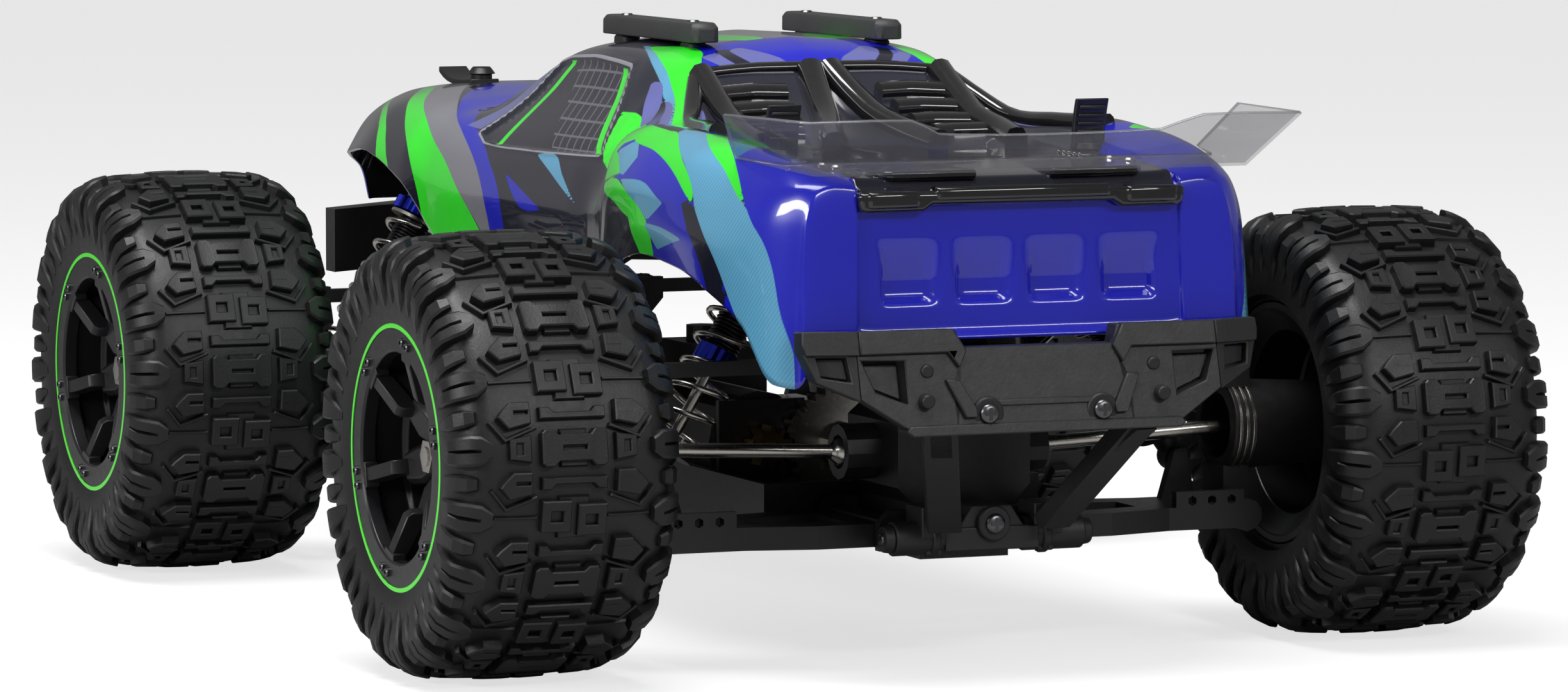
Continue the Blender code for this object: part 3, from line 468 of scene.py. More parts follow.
WALL_END = CROWN_HALF + (SHOULDER_TO - CROWN_SLOPE) * SHOULDER_R + (WALL_TO - SHOULDER_TO) * WALL_R
CROWN_STEPS, WALL_STEPS, CARCASS_STEPS = 5, 12, 120
BEAD = [(24.0, 33.0), (24.0, 31.3), (-24.0, 31.3), (-24.0, 33.0)]


def tyre_mesh():
    """The smooth carcass with its beads, and the tread laid on it pitch by pitch."""
    bm = bmesh.new()
    across = [i * CROWN_HALF / CROWN_STEPS for i in range(CROWN_STEPS)]
    across += [CROWN_HALF + i * (WALL_END - CROWN_HALF) / WALL_STEPS for i in range(WALL_STEPS + 1)]
    half = [tyre_surface(s)[:2] for s in across]
    lathe(bm, [(-y, r) for y, r in reversed(half[1:])] + half + BEAD, CARCASS_STEPS)
    for k in range(PITCHES):
        tread_pitch(bm, k * PITCH)
    return bm


def on_wheel(name, bm, end, side, material, slot="rim", replaces=(), **finish):
    """A piece, made for a left wheel about the origin, put on the wheel at one corner."""
    tag, s = f"{end}_{side}", SIDES[side]
    mirror(bm, s)
    at = (AXLE_X[end], s * TRACK_HALF, AXLE_Z)
    replaces = [f"{node}_{tag}" for node in replaces]
    piece(f"{name}_{tag}", bm, f"wheel_{tag}", material, slot, replaces, at=at, **finish)


TREAD_PHASE = {"rear_left": 7.0, "rear_right": 11.0, "front_left": 4.0, "front_right": 21.0}


def tyres():
    for end, side in CORNERS:
        bm = tyre_mesh()
        turn = Matrix.Rotation(math.radians(TREAD_PHASE[f"{end}_{side}"]), 3, "Y")
        bmesh.ops.rotate(bm, matrix=turn, verts=bm.verts)
        on_wheel("tread", bm, end, side, RUBBER, "tyre", ["tyre"], smooth=28)


# ---------- Rims ----------

SPOKES = [math.radians(15) + k * math.tau / 6 for k in range(6)]
RING_FACE_Y = 26.4
# Closed (y, radius) profiles
BARREL = (
    (-24.0, 31.0), (23.7, 31.0), (23.7, 27.2), (15.0, 27.2), (14.0, 26.0),
    (-4.0, 25.2), (-6.0, 23.5), (-20.0, 23.5), (-22.5, 27.5), (-24.0, 29.0),
)
BOSS = ((-6.0, 9.0), (-6.0, 7.6), (0.0, 7.6), (0.0, 2.7), (13.6, 2.7), (13.6, 6.2), (14.4, 7.4), (12.5, 9.6))
RING = (
    (23.9, 31.0), (23.9, 32.5), (25.6, 32.6), (RING_FACE_Y, 32.0),
    (RING_FACE_Y, 26.4), (25.9, 25.8), (22.6, 25.8), (22.0, 26.4),
)
LINE = ((25.0, 32.3), (25.0, 33.2), (26.2, 33.15), (RING_FACE_Y + 0.2, 32.8), (RING_FACE_Y + 0.2, 31.75))
# A spoke's stations as (radius, lowest y, highest y, half width)
SPOKE_BAR = (
    (27.6, 22.4, 26.0, 2.1), (24.0, 21.4, 25.6, 2.1), (15.0, 17.6, 22.6, 2.1), (14.0, 17.0, 21.0, 2.1),
)
SPOKE_ARM = (
    (26.6, 6.0, 10.5, 3.1), (22.0, 7.0, 15.0, 3.6), (15.5, 8.0, 18.6, 4.3),
    (9.5, 8.5, 17.0, 5.0), (4.0, 8.5, 14.5, 2.6),
)
SPOKE_WEB = ((26.6, 12.0, 22.5, 0.8), (14.5, 14.0, 18.5, 0.8))


def around(angle, r, y, offset=0.0):
    """A point at radius r and depth y on the wheel, offset sideways from the spoke's line."""
    c, s = math.cos(angle), math.sin(angle)
    return (-r * s - offset * c, y, r * c - offset * s)


def spoke(bm, angle):
    """A slim outer bar that runs from the ring down into a wide, chamfered inner arm."""

    def lay(stations, section):
        loops = []
        for r, low, high, w in stations:
            loops.append([around(angle, r, y, o) for y, o in section(low, high, w)])
        rings(bm, loops)

    lay(SPOKE_BAR, lambda low, high, w: ((low, -w), (high, 0.4 - w), (high, w - 0.4), (low, w)))
    lay(SPOKE_ARM, lambda low, high, w: (
        (low, -w), (high - 1.6, -w), (high, 1.4 - w), (high, w - 1.4), (high - 1.6, w), (low, w)
    ))
    lay(SPOKE_WEB, lambda low, high, w: ((low, -w), (high, -w), (high, w), (low, w)))


def rims():
    """The rim with its spokes, the bead ring, the green line and the screws of each wheel."""
    for end, side in CORNERS:
        rim, ring, line, bolts = (bmesh.new() for _ in range(4))
        lathe(rim, BARREL, 72)
        lathe(rim, BOSS, 36)
        lathe(ring, RING, 96)
        lathe(line, LINE, 96)
        for angle in SPOKES:
            spoke(rim, angle)
            pad = [around(angle, r, 0, o) for r, o in ((24.2, -3.0), (24.2, 3.0), (27.0, 3.8), (27.0, -3.8))]
            rings(ring, [[(p[0], y, p[2]) for p in pad] for y in (22.6, RING_FACE_Y - 0.4)])
            for step in (-1, 1):
                centre = around(angle + step * math.radians(3.6), 29.2, RING_FACE_Y)
                screw_head(bolts, centre, (0, 1, 0), 1.15, 0.9)
        on_wheel("rim", rim, end, side, RIM_PLASTIC, replaces=["wheel"], bevel=0.25)
        on_wheel("bead_ring", ring, end, side, RIM_PLASTIC, bevel=0.15)
        on_wheel("green_line", line, end, side, GREEN)
        on_wheel("bead_screws", bolts, end, side, SCREW)


# ---------- Body shell ----------

# Half sections from the tail forwards: distance ahead of the rear axle, height of the middle of the
# top, then eight (y, z) points down to the lower edge.
HALF_SECTIONS = (
    (-51.5, 84, (20, 84), (38, 84), (44, 84), (50, 84), (54, 84), (56, 82.5), (57.5, 80), (58, 76)),
    (-50.5, 100, (20, 100), (38, 100), (44, 103), (50, 104), (54, 103), (57, 99), (58, 90), (58.5, 74)),
    (-49, 119, (20, 119), (40, 119.5), (44, 121), (49, 121.5), (54, 120), (57, 113), (58.5, 98), (60, 73)),
    (-46, 121.5, (20, 121.5), (40, 122), (45, 123), (51, 123.5), (57, 121.5), (60, 114), (62, 100), (64, 74)),
    (-36, 123, (20, 123), (40, 123), (46, 125), (55, 126.5), (62, 122), (66, 112), (67, 103), (68, 87.5)),
    (-17, 124, (20, 124), (41, 124), (47, 127), (57, 129.5), (65, 125), (69.5, 114), (71, 106), (71, 96)),
    (0, 124, (20, 124), (41, 124), (47, 128), (58, 131), (67, 126.5), (71.5, 115), (72, 108), (71, 99.5)),
    (24, 125, (20, 125), (42, 125.5), (48, 130), (58, 132.5), (67, 127), (72, 116), (72, 109), (70, 101)),
    (40, 127, (20, 127), (41, 128), (48, 131), (59, 132.5), (67, 126), (71, 116), (70, 106), (69, 99)),
    (55, 131, (18, 131), (38, 131), (49, 131), (58, 131), (66, 125), (69, 112), (68, 102), (67, 90)),
    (66, 136, (18, 136), (37, 136), (47, 133), (57, 126.5), (63, 119), (66, 108), (66, 92), (65, 76)),
    (78, 143, (18, 143), (36, 142), (45, 134), (56.5, 124), (60.5, 116), (63.5, 105), (63.5, 87), (62, 68)),
    (86, 148.5, (22, 147.5), (36, 145.5), (45.5, 136), (57, 123.5),
     (60.5, 115), (62.5, 104), (62, 86), (61, 66)),
    (100, 151.5, (22, 150), (36.5, 147.5), (47, 136), (57.3, 123.2),
     (61, 115), (63, 104), (62, 86), (61, 66)),
    (125, 152, (22, 150.5), (37, 148), (47, 136), (57.5, 123), (61, 115), (63, 104), (62, 86), (61, 66)),
    (152, 150.5, (22, 149), (37.5, 146), (46.5, 135.5), (57, 123), (61, 115), (63, 104), (62, 86), (61, 66)),
    (182, 139.5, (22, 139), (41, 135.5), (48, 130), (56, 123.5),
     (60.5, 116), (62.5, 104), (62, 86), (61, 66)),
    (206, 130, (22, 130), (42, 128.5), (49, 127.5), (56, 124.5),
     (60.5, 117), (62.5, 106), (62, 90), (61, 70)),
    (225, 131.5, (22, 131.5), (40, 130.5), (48, 129.5), (55, 127),
     (60.5, 121), (64, 113), (65, 103), (65, 88)),
    (250, 133, (22, 133), (38, 132), (46, 130.5), (54, 127.5),
     (60, 121), (64, 113), (64.5, 108), (64.5, 101)),
    (285, 131, (22, 131), (36, 130), (44, 127.5), (51, 123), (56, 116), (59, 110), (59.5, 105), (59.5, 98)),
    (304, 127, (22, 127), (33, 126), (39, 123.5), (46, 119), (50, 113), (52.5, 107), (53, 101), (53.5, 96)),
    (312.5, 120, (22, 120), (31, 119), (36, 117), (41, 113), (44, 108), (46, 104), (46.5, 100), (47, 96)),
    (314.5, 97, (20, 97), (28, 97), (33, 97), (38, 97), (41, 97), (43, 96.6), (44, 96.2), (45, 96)),
)
SECTIONS = [(x, (0, top), *side) for x, top, *side in HALF_SECTIONS]
EDGES = 9
SILL_T = 8.0
SHEET = 1.0
T_MM = 12.0  # about how far one step of t reaches, for measuring distances on the sheet
NUDGE_U, NUDGE_T = 0.5, 0.03  # how far each way the sheet's slope is measured


def smooth_curve(xs, ys):
    """A smooth curve through points that never overshoots them."""
    spans = [b - a for a, b in zip(xs, xs[1:])]
    slopes = [(b - a) / h for a, b, h in zip(ys, ys[1:], spans)]
    ease = [slopes[0]]
    for i in range(1, len(spans)):
        before, after = slopes[i - 1], slopes[i]
        w1, w2 = 2 * spans[i] + spans[i - 1], spans[i] + 2 * spans[i - 1]
        ease.append((w1 + w2) / (w1 / before + w2 / after) if before * after > 0 else 0.0)
    ease.append(slopes[-1])

    def curve(x):
        x = min(max(x, xs[0]), xs[-1])
        i = 0
        while i < len(spans) - 1 and x > xs[i + 1]:
            i += 1
        h = spans[i]
        s = (x - xs[i]) / h
        value = (1 + 2 * s) * (1 - s) ** 2 * ys[i] + s * s * (3 - 2 * s) * ys[i + 1]
        return value + h * (s * (1 - s) ** 2 * ease[i] + s * s * (s - 1) * ease[i + 1])

    return curve


def travel():
    """How far along the shell each section lies, measured over the sheet from the tail's foot."""
    places = [0.0]
    for near, far in zip(SECTIONS, SECTIONS[1:]):
        steps = [math.dist((near[0], *near[k]), (far[0], *far[k])) for k in (1, 5)]
        places.append(places[-1] + max(steps))
    return places


PLACES = travel()
SHELL_X = smooth_curve(PLACES, [row[0] for row in SECTIONS])
EDGE_Y = [smooth_curve(PLACES, [row[1 + k][0] for row in SECTIONS]) for k in range(EDGES)]
EDGE_Z = [smooth_curve(PLACES, [row[1 + k][1] for row in SECTIONS]) for k in range(EDGES)]


def shell_column(u):
    """The section at u: a function from t (0 at the top's middle, 8 at the sill) to (x, y, z)."""
    x = SHELL_X(u) + AXLE_X["rear"]
    side = smooth_curve(range(EDGES), [edge(u) for edge in EDGE_Y])
    up = smooth_curve(range(EDGES), [edge(u) for edge in EDGE_Z])
    return lambda t: Vector((x, side(t), up(t)))


def columns(u):
    """The sections just behind u, at u and just ahead of it."""
    return [shell_column(u + d) for d in (-NUDGE_U, 0, NUDGE_U)]


def raised(three_columns, t, lift):
    """The point at t on the middle one of three columns, lift mm off the sheet."""
    near, here, far = three_columns
    across = here(min(SILL_T, t + NUDGE_T)) - here(max(0.0, t - NUDGE_T))
    return here(t) - across.cross(far(t) - near(t)).normalized() * lift


def shell_point(u, t, lift=0.0):
    """The point (u, |t|) raised lift mm off the shell; a negative t is on the right."""
    point = raised(columns(u), abs(t), lift)
    point.y *= -1 if t < 0 else 1
    return point


# Painted shapes as corners (u, t) in mm along and steps across, later ones over earlier ones.
PAINT = (
    ("blue", ((0, -2), (0, 8), (102, 8), (84, 6), (100, 4.4), (108, 3.3), (108, 2.4), (60, 2.4), (47, -2))),
    ("green", ((189, 3.25), (173, 3.3), (140, 4.05), (114, 4.4),
               (128, 4.65), (142, 4.95), (178, 4.35), (181, 4.0))),
    ("blue", ((142, 4.8), (114, 4.4), (96, 5), (84, 6), (84, 8), (112, 8), (118, 7), (131, 5.8), (145, 5.4))),
    ("light", ((142, 5.0), (131, 4.65), (124, 5.2), (128, 5.6), (134, 5.55))),
    ("green", ((178, 4.35), (142, 5.05), (131, 5.6), (150, 5.5))),
    ("green", ((150, 5.6), (131, 5.75), (115, 6.3), (106, 7.1), (107, 8), (118, 8), (122, 6.75))),
    ("light", ((130, 5.7), (111, 5.7), (98, 6.05), (108, 6.85), (115, 6.3))),
    ("light", ((110, 6.95), (98, 6.95), (85, 7.1), (103, 7.7))),
    ("green", ((135, 4.7), (124, 4.45), (114, 4.35), (95, 5.1), (83, 5.6), (81, 5.9), (92, 5.5), (110, 5.1))),
    ("black", ((84, 5.85), (72, 6.45), (66, 7.2), (61, 8), (70, 8), (82, 6.65), (87, 5.9))),
    ("light", ((114, 4.3), (100, 4.05), (72, 5.05), (57, 5.65), (46, 6.9), (42, 7.45), (36, 8), (56, 8),
               (66, 7.3), (79, 6.05), (83, 5.6), (97, 5.0))),
    ("green", ((101, 4.1), (96, 3.7), (71, 4.75), (57, 5.65), (63, 5.45), (77, 4.9))),
    ("blue", ((391, -2), (391, 9), (450, 9), (450, -2))),
    ("green", ((391, -2), (387, -2), (386, 3), (340, 5.6), (324, 8), (337, 8), (348, 5.6), (391, 3))),
    ("green", ((386, 1.6), (377, 1.4), (329, 4.1), (298, 5.1), (278, 5.85), (255, 6.6), (252, 8), (306, 8),
               (310, 6.8), (317, 5.95), (329, 5.1))),
    ("grey", ((378, 1.4), (355, 1.6), (308, 3.6), (275, 4.85), (262, 5.5), (250, 6.4), (243, 8), (253, 8),
              (260, 6.4), (278, 5.85), (298, 5.1), (329, 4.1))),
    ("blue", ((356, 0.8), (328, 0.8), (316, 1.2), (291, 3.75), (276, 4.15), (260, 4.85), (245, 5.75),
              (236, 8), (244, 8), (254, 6.2), (262, 5.5), (275, 4.85), (308, 3.6))),
    ("blue", ((246, 5.05), (228, 5.5), (213, 5.85), (229, 5.85))),
    ("light", ((226, 4.35), (212, 4.3), (203, 4.9), (189, 5.6), (207, 5.05))),
    ("violet", ((293, 3.9), (268, 2.1), (259, 2.1), (281, 3.95))),
    ("green", ((273, 2.15), (264, 1.8), (257, 1.9), (265, 2.3))),
    ("grey", ((264, 0.9), (240, 1.25), (196, 1.0), (190, -2), (264, -2))),
    ("green", ((232, 0.95), (206, 1.0), (190, 0.35), (201, 0.3))),
    ("blue", ((193, 1.62), (198, -2), (172, -2), (171, 1.3), (174, 1.75))),
    ("light", ((214, 1.75), (209, 1.75), (153, 2.6), (107, 4.3), (110, 4.25), (170, 2.86), (196, 2.2))),
    ("green", ((209, 1.78), (188, 1.35), (174, 1.8), (165, 2.0), (110, 4.2), (160, 2.78), (184, 2.3))),
    ("violet", ((186, 2.62), (179, 2.6), (168, 3.3), (171, 3.45), (182, 3.0))),
    ("violet", ((173, 2.75), (165, 2.75), (131, 3.85), (131, 4.1))),
    ("violet", ((158, 2.2), (154, 2.1), (104, 3.6), (110, 3.95))),
    ("violet", ((183, 1.5), (187, 0.75), (177, 0.35), (174, 0.6), (174, 1.3))),
    ("black", ((187, 1.15), (187, 0.95), (175, 0.85), (175, 1.12))),
    ("black", ((173, -2), (173, 1.3), (171, 1.9), (150, 2.0), (108, 3.3), (108, -2))),
)
WINDOW = ((278, 4.05), (256, 2.28), (203, 2.48), (182, 4.1), (270, 4.28))
BED_COVER = (
    (41.5, -2), (41.5, 1.25), (39.5, 1.4), (39.5, 2.3), (43, 2.42), (66, 2.3), (66, 1.9), (96, 1.9), (96, -2),
)
TAIL_PANEL = ((2, -2), (2, 2.9), (37, 2.75), (44, 2.5), (44, -2))
POCKETS = ((0.1, 0.86), (1.09, 1.9))  # spans of t across the tailgate
POCKET_U = (11.0, 28.0)
GENTLE_BEND, CURVE_STEPS = math.radians(48), 5
FAR = 1e9


def in_mm(outline):
    """An outline on the sheet with its steps of t as mm."""
    return [(u, t * T_MM) for u, t in outline]


def curved(outline):
    """The outline in mm with gentle bends rounded into curves and sharp corners kept."""
    points = [Vector(corner) for corner in in_mm(outline)]
    count = len(points)
    tangents = []
    for i, here in enumerate(points):
        into, out = here - points[i - 1], points[(i + 1) % count] - here
        gentle = into.angle(out) < GENTLE_BEND
        tangents.append((into.normalized() + out.normalized()) / 2 if gentle else None)
    result = []
    for i, here in enumerate(points):
        after = points[(i + 1) % count]
        chord = after - here
        pull = [tangents[k] * chord.length if tangents[k] else chord for k in (i, (i + 1) % count)]
        for k in range(CURVE_STEPS):
            s = k / CURVE_STEPS
            point = here * (1 + 2 * s) * (1 - s) ** 2 + after * s * s * (3 - 2 * s)
            point += pull[0] * s * (1 - s) ** 2 + pull[1] * s * s * (s - 1)
            result.append((point.x, point.y))
    return result

def signed_distance(points, outline):
    """Distances in mm from an array of points to an outline, negative inside."""
    px, py = points[:, 0], points[:, 1]
    inside = np.zeros(len(points), bool)
    best = np.full(len(points), FAR)
    x1, y1 = outline[-1]
    for x2, y2 in outline:
        dx, dy = x2 - x1, y2 - y1
        share = np.clip(((px - x1) * dx + (py - y1) * dy) / (dx * dx + dy * dy + 1e-12), 0, 1)
        best = np.minimum(best, np.hypot(px - x1 - share * dx, py - y1 - share * dy))
        if dy:
            inside ^= ((y1 > py) != (y2 > py)) & (px < x1 + (py - y1) * dx / dy)
        x1, y1 = x2, y2
    return np.where(inside, -best, best)


def ramp(distance, width):
    """1 well inside an outline, 0 outside, easing over width mm."""
    s = np.clip(0.5 - distance / width, 0, 1)
    return s * s * (3 - 2 * s)


PANEL_DEPTH, POCKET_DEPTH, WINDOW_DEPTH, SEAL_HEIGHT, COVER_HEIGHT = 1.7, 2.6, 0.9, 0.4, 1.0


def relief(points, window, bed):
    """How far the sheet stands out (mm) at each (u, t in mm) point."""
    u, t = points[:, 0], points[:, 1] / T_MM
    lift = -PANEL_DEPTH * ramp(signed_distance(points, in_mm(TAIL_PANEL)), 3.0)
    low, high = POCKET_U
    for start, stop in POCKETS:
        across = np.clip(np.minimum(t - start, stop - t) * 9.0, 0, 1)
        wedge = np.clip((u - low) / 3.0, 0, 1) * np.clip((high - u) / 9.0, 0, 1)
        lift -= POCKET_DEPTH * across * across * (3 - 2 * across) * wedge
    lift -= WINDOW_DEPTH * ramp(window, 1.6)
    lift += SEAL_HEIGHT * ramp(np.abs(window - 1.0) - 0.8, 1.0)
    return lift + COVER_HEIGHT * ramp(bed, 0.8)


COLOURS = ("blue", "green", "light", "grey", "violet")
T_STEPS = 15
TAIL_TO, TAIL_STEP, BODY_STEP = 48, 0.9, 2.0  # the grid's columns stand closer together over the tail
# How far down (t) the sheet reaches, from the door forward over the front wheel arch to the nose
ARCH_U = (282, 291, 303, 313, 326, 332, 338, 344, 354, 366, 391)
ARCH_T = (8, 7.4, 6.75, 6.6, 6.5, 6.38, 6.2, 6.02, 5.8, 5.68, 5.5)


def column_places():
    """u of each column of the grid."""
    places, u = [], 0.0
    while u < PLACES[-1]:
        places.append(u)
        u += TAIL_STEP if u < TAIL_TO else BODY_STEP
    return places + [PLACES[-1]]


def paint_distances(points):
    """Signed distance to the visible part of each colour; later shapes hide earlier ones."""
    on_top = np.full(len(points), FAR)
    result = {colour: on_top.copy() for colour in COLOURS}
    for colour, outline in reversed(PAINT):
        d = signed_distance(points, curved(outline))
        if colour in result:
            result[colour] = np.minimum(result[colour], np.maximum(d, -on_top))
        on_top = np.minimum(on_top, d)
    return result


def shell_mesh():
    """The sheet as a grid of (u, t), left and right, with the paint's distances on its points."""
    ts = [k / T_STEPS for k in range(int(SILL_T) * T_STEPS + 1)]
    us = column_places()
    reach = [float(end) / SILL_T for end in np.interp(us, ARCH_U, ARCH_T)]
    points = np.array([(u, t * share * T_MM) for u, share in zip(us, reach) for t in ts])
    paint = paint_distances(points)
    paint["window"] = signed_distance(points, in_mm(WINDOW))
    paint["bed"] = signed_distance(points, in_mm(BED_COVER))
    lifts = relief(points, paint["window"], paint["bed"])
    paint["u"], paint["t"] = points[:, 0], points[:, 1] / T_MM

    bm = bmesh.new()
    layers = {name: bm.verts.layers.float.new(name) for name in paint}
    rows = []
    for i, u in enumerate(us):
        here = columns(u)
        left, right = [], []
        for k, t in enumerate(ts):
            index = i * len(ts) + k
            co = raised(here, t * reach[i], float(lifts[index]))
            for s, row in ((1, left), (-1, right)):
                if s > 0 or k:
                    vert = bm.verts.new((co.x, s * co.y, co.z))
                    for name, layer in layers.items():
                        vert[layer] = paint[name][index]
                    row.append(vert)
        rows.append(right[::-1] + left)
    for near, far in zip(rows, rows[1:]):
        for i in range(len(near) - 1):
            bm.faces.new((near[i], near[i + 1], far[i + 1], far[i]))
    return bm


PAINT_RGB = {
    "black": (0.006, 0.006, 0.008),
    "blue": (0.006, 0.009, 0.50),
    "green": (0.030, 0.86, 0.008),
    "light": (0.13, 0.42, 0.62),
    "grey": (0.22, 0.22, 0.24),
    "violet": (0.13, 0.14, 0.40),
}

FLAKE = rgb(0.12, 0.12, 0.4)
DOTS_ON_LIGHT = rgb(0.05, 0.22, 0.42)
GLASS, NET, WINDOW_FRAME = rgb(0.004, 0.004, 0.005), rgb(0.12, 0.12, 0.13), rgb(0.30, 0.30, 0.34)
BED_BLACK = rgb(0.006, 0.006, 0.007)
# Cage bars in the window: each follows u + slope * t = place and is given as (slope, place, half width)
WINDOW_BARS = ((-7.1, 230.9, 1.7), (12.4, 237.2, 1.7))
NET_SLOPE, NET_U, NET_T, NET_GAP = 5.0, 0.62, 10.5, 0.975
NET_END = (14.0, 277.0)  # the net stops where u + slope * t reaches the place


def livery():
    """The shell's paint, window and bed cover, read from the attributes that shell_mesh() stores."""
    n = Nodes("painted_shell")

    def attribute(name):
        return n.add("ShaderNodeAttribute", attribute_name=name).outputs["Fac"]

    def inside(name, grow=0.0, edge=0.12):
        inputs = {"Value": attribute(name), "From Min": grow + edge, "From Max": grow - edge}
        return n.add("ShaderNodeMapRange", inputs).outputs[0]

    def slanted(slope):
        return n.math("ADD", u, n.math("MULTIPLY", t, slope))

    def close(value, place, half):
        return n.math("LESS_THAN", n.math("ABSOLUTE", n.math("SUBTRACT", value, place)), half)

    def wave(value, rate):
        return n.math("ABSOLUTE", n.math("SINE", n.math("MULTIPLY", value, rate)))

    u, t = attribute("u"), attribute("t")
    colour = rgb(*PAINT_RGB["black"])
    for name in COLOURS:
        shade = rgb(*PAINT_RGB[name])
        if name == "light":
            place = n.add("ShaderNodeTexCoord").outputs["Object"]
            dots = n.add("ShaderNodeTexWave", {"Vector": place, "Scale": 420.0}, bands_direction="DIAGONAL")
            shade = n.mix(n.math("MULTIPLY", dots.outputs["Fac"], 0.45), shade, DOTS_ON_LIGHT)
        colour = n.mix(inside(name, 0.05), colour, shade)

    # The side window: dark, with a printed net, two green cage bars and a thin pale frame
    net = n.math("MAXIMUM", wave(slanted(NET_SLOPE), NET_U), wave(t, NET_T))
    end_slope, end_place = NET_END
    zone = n.math("LESS_THAN", slanted(end_slope), end_place)
    glass = n.mix(n.math("MULTIPLY", zone, n.math("GREATER_THAN", net, NET_GAP)), GLASS, NET)
    for slope, place, half in WINDOW_BARS:
        glass = n.mix(close(slanted(slope), place, half), glass, rgb(*PAINT_RGB["green"]))
    colour = n.mix(inside("window"), colour, glass)
    colour = n.mix(close(attribute("window"), 0.9, 0.4), colour, WINDOW_FRAME)
    colour = n.mix(inside("bed"), colour, BED_BLACK)

    # Flakes in the paint, a little unevenness in the sheet and a clear gloss over all of it
    colour = n.mix(n.math("MULTIPLY", n.noise(2600.0, 2.0), 0.08), colour, FLAKE)
    n.set(Base_Color=colour, Roughness=n.spread(n.noise(60.0), 0.16, 0.26))
    n.set(Coat_Weight=1.0, Coat_Roughness=0.03)
    n.bump(n.noise(28.0, 2.0), 0.6, 0.25)
    return n.material


def body_shell():
    shell = piece("livery_shell", shell_mesh(), "body", livery(), "body_paint", ("body_shell",), smooth=60)
    # The sheet's inner face is gloss black: painted shade inside the shell.
    shell.data.materials.append(GLOSS_BLACK)
    thicken(shell, SHEET, -1).material_offset = 1


# ---------- Parts fixed to the shell ----------

TAIL_X = AXLE_X["rear"]
BAR_SECTION = ((-0.5, -0.6), (-0.48, 0.45), (-0.3, 0.9), (0, 1.0), (0.3, 0.9), (0.48, 0.45), (0.5, -0.6))
BAR_STEPS = 5


def bar_on_shell(bm, points, width, height):
    """A rounded bar laid on the shell along (u, t) points, negative t on the right."""
    path = []
    for (u1, t1), (u2, t2) in zip(points, points[1:]):
        path += [(u1 + (u2 - u1) * k / BAR_STEPS, t1 + (t2 - t1) * k / BAR_STEPS) for k in range(BAR_STEPS)]
    path.append(points[-1])
    feet = [shell_point(u, t) for u, t in path]
    loops = []
    for i, (foot, place) in enumerate(zip(feet, path)):
        along = (feet[min(i + 1, len(feet) - 1)] - feet[max(i - 1, 0)]).normalized()
        up = (shell_point(*place, 1.0) - foot).normalized()
        side = along.cross(up).normalized()
        loops.append([foot + side * (a * width) + up * (b * height) for a, b in BAR_SECTION])
    rings(bm, loops)


def cab_wall():
    """The pillar and braces over the louvred rear wall of the cab."""
    bars = bmesh.new()
    for s in (-1, 1):
        bar_on_shell(bars, ((173, s * 0.14), (150, s * 0.36), (124, s * 0.72)), 7.0, 4.2)
        bar_on_shell(bars, ((172, s * 1.82), (150, s * 1.78), (122, s * 1.62)), 6.4, 4.4)
        bar_on_shell(bars, ((170, s * 1.95), (150, s * 2.5), (124, s * 3.1), (106, s * 3.6)), 4.6, 2.6)
    bar_on_shell(bars, ((173.5, -1.8), (174.5, -0.9), (174.5, 0.001), (174.5, 0.9), (173.5, 1.8)), 3.0, 1.6)
    piece("cab_wall_bars", bars, "body", GLOSS_BLACK, "body_paint", smooth=50)


LOUVRES, LOUVRE_T, LOUVRE_FROM, LOUVRE_PITCH = 4, (0.66, 1.68), 136.5, 8.6


def louvres():
    """Four rounded slats a side, stacked up the cab's rear wall."""
    slats = bmesh.new()
    for s in (-1, 1):
        for k in range(LOUVRES):
            u = LOUVRE_FROM + k * LOUVRE_PITCH
            inner = LOUVRE_T[0] + 0.07 * (LOUVRES - k)
            bar_on_shell(slats, ((u, s * inner), (u + 0.6, s * 1.2), (u - 0.4, s * LOUVRE_T[1])), 5.4, 2.6)
    piece("cab_louvres", slats, "body", GLOSS_BLACK, "body_paint", smooth=60)


TAB_STEPS = 8


def tab_steps():
    """Shares of the way along a latch's tab."""
    return [k / TAB_STEPS for k in range(TAB_STEPS + 1)]


def latch(bm, x, y, z):
    """A body latch: post cap, curved ribbed tab that leans back and its stem."""

    def tab(share):
        return x - 2.0 - 2.6 * share * share, z + 1.5 + 13.0 * share

    cylinder(bm, (x, y, z - 8), (x, y, z + 1.5), 3.0)
    cylinder(bm, (x, y, z + 1.5), (x, y, z + 3.4), 4.2, 3.6)
    outer = [tab(share) for share in tab_steps()]
    extrude(bm, outer + [(px + 1.6, pz) for px, pz in reversed(outer)], "Y", y - 4.4, y + 4.4)
    for k in range(4):
        px, pz = tab(0.35 + 0.16 * k)
        block(bm, (px - 0.7, px + 0.3), (y - 3.6, y + 3.6), (pz - 0.5, pz + 0.5))


def hood_latch(bm, x, y, z):
    """The front latch lies over, with its curled tab pointing forwards."""
    cylinder(bm, (x, y, z - 6), (x, y, z + 4.5), 3.0)
    cylinder(bm, (x, y, z + 4.5), (x, y, z + 6.4), 4.0, 2.6)
    loops = []
    for share in tab_steps():
        px, pz = x - 3 + 27 * share, z + 2.4 - 1.5 * share + 4.0 * share ** 4
        loops.append([(px, y + a, pz + b) for a, b in ((-4.2, -0.8), (4.2, -0.8), (4.2, 0.8), (-4.2, 0.8))])
    rings(bm, loops)


def latches():
    for side, s in SIDES.items():
        for end, build, y, z in (("rear", latch, 42, 124.5), ("front", hood_latch, 28, 130.5)):
            bm = bmesh.new()
            build(bm, AXLE_X[end] + 3.5, s * y, z)
            piece(f"{end}_latch_{side}", bm, "body", PLASTIC, "black_plastic", bevel=0.3)


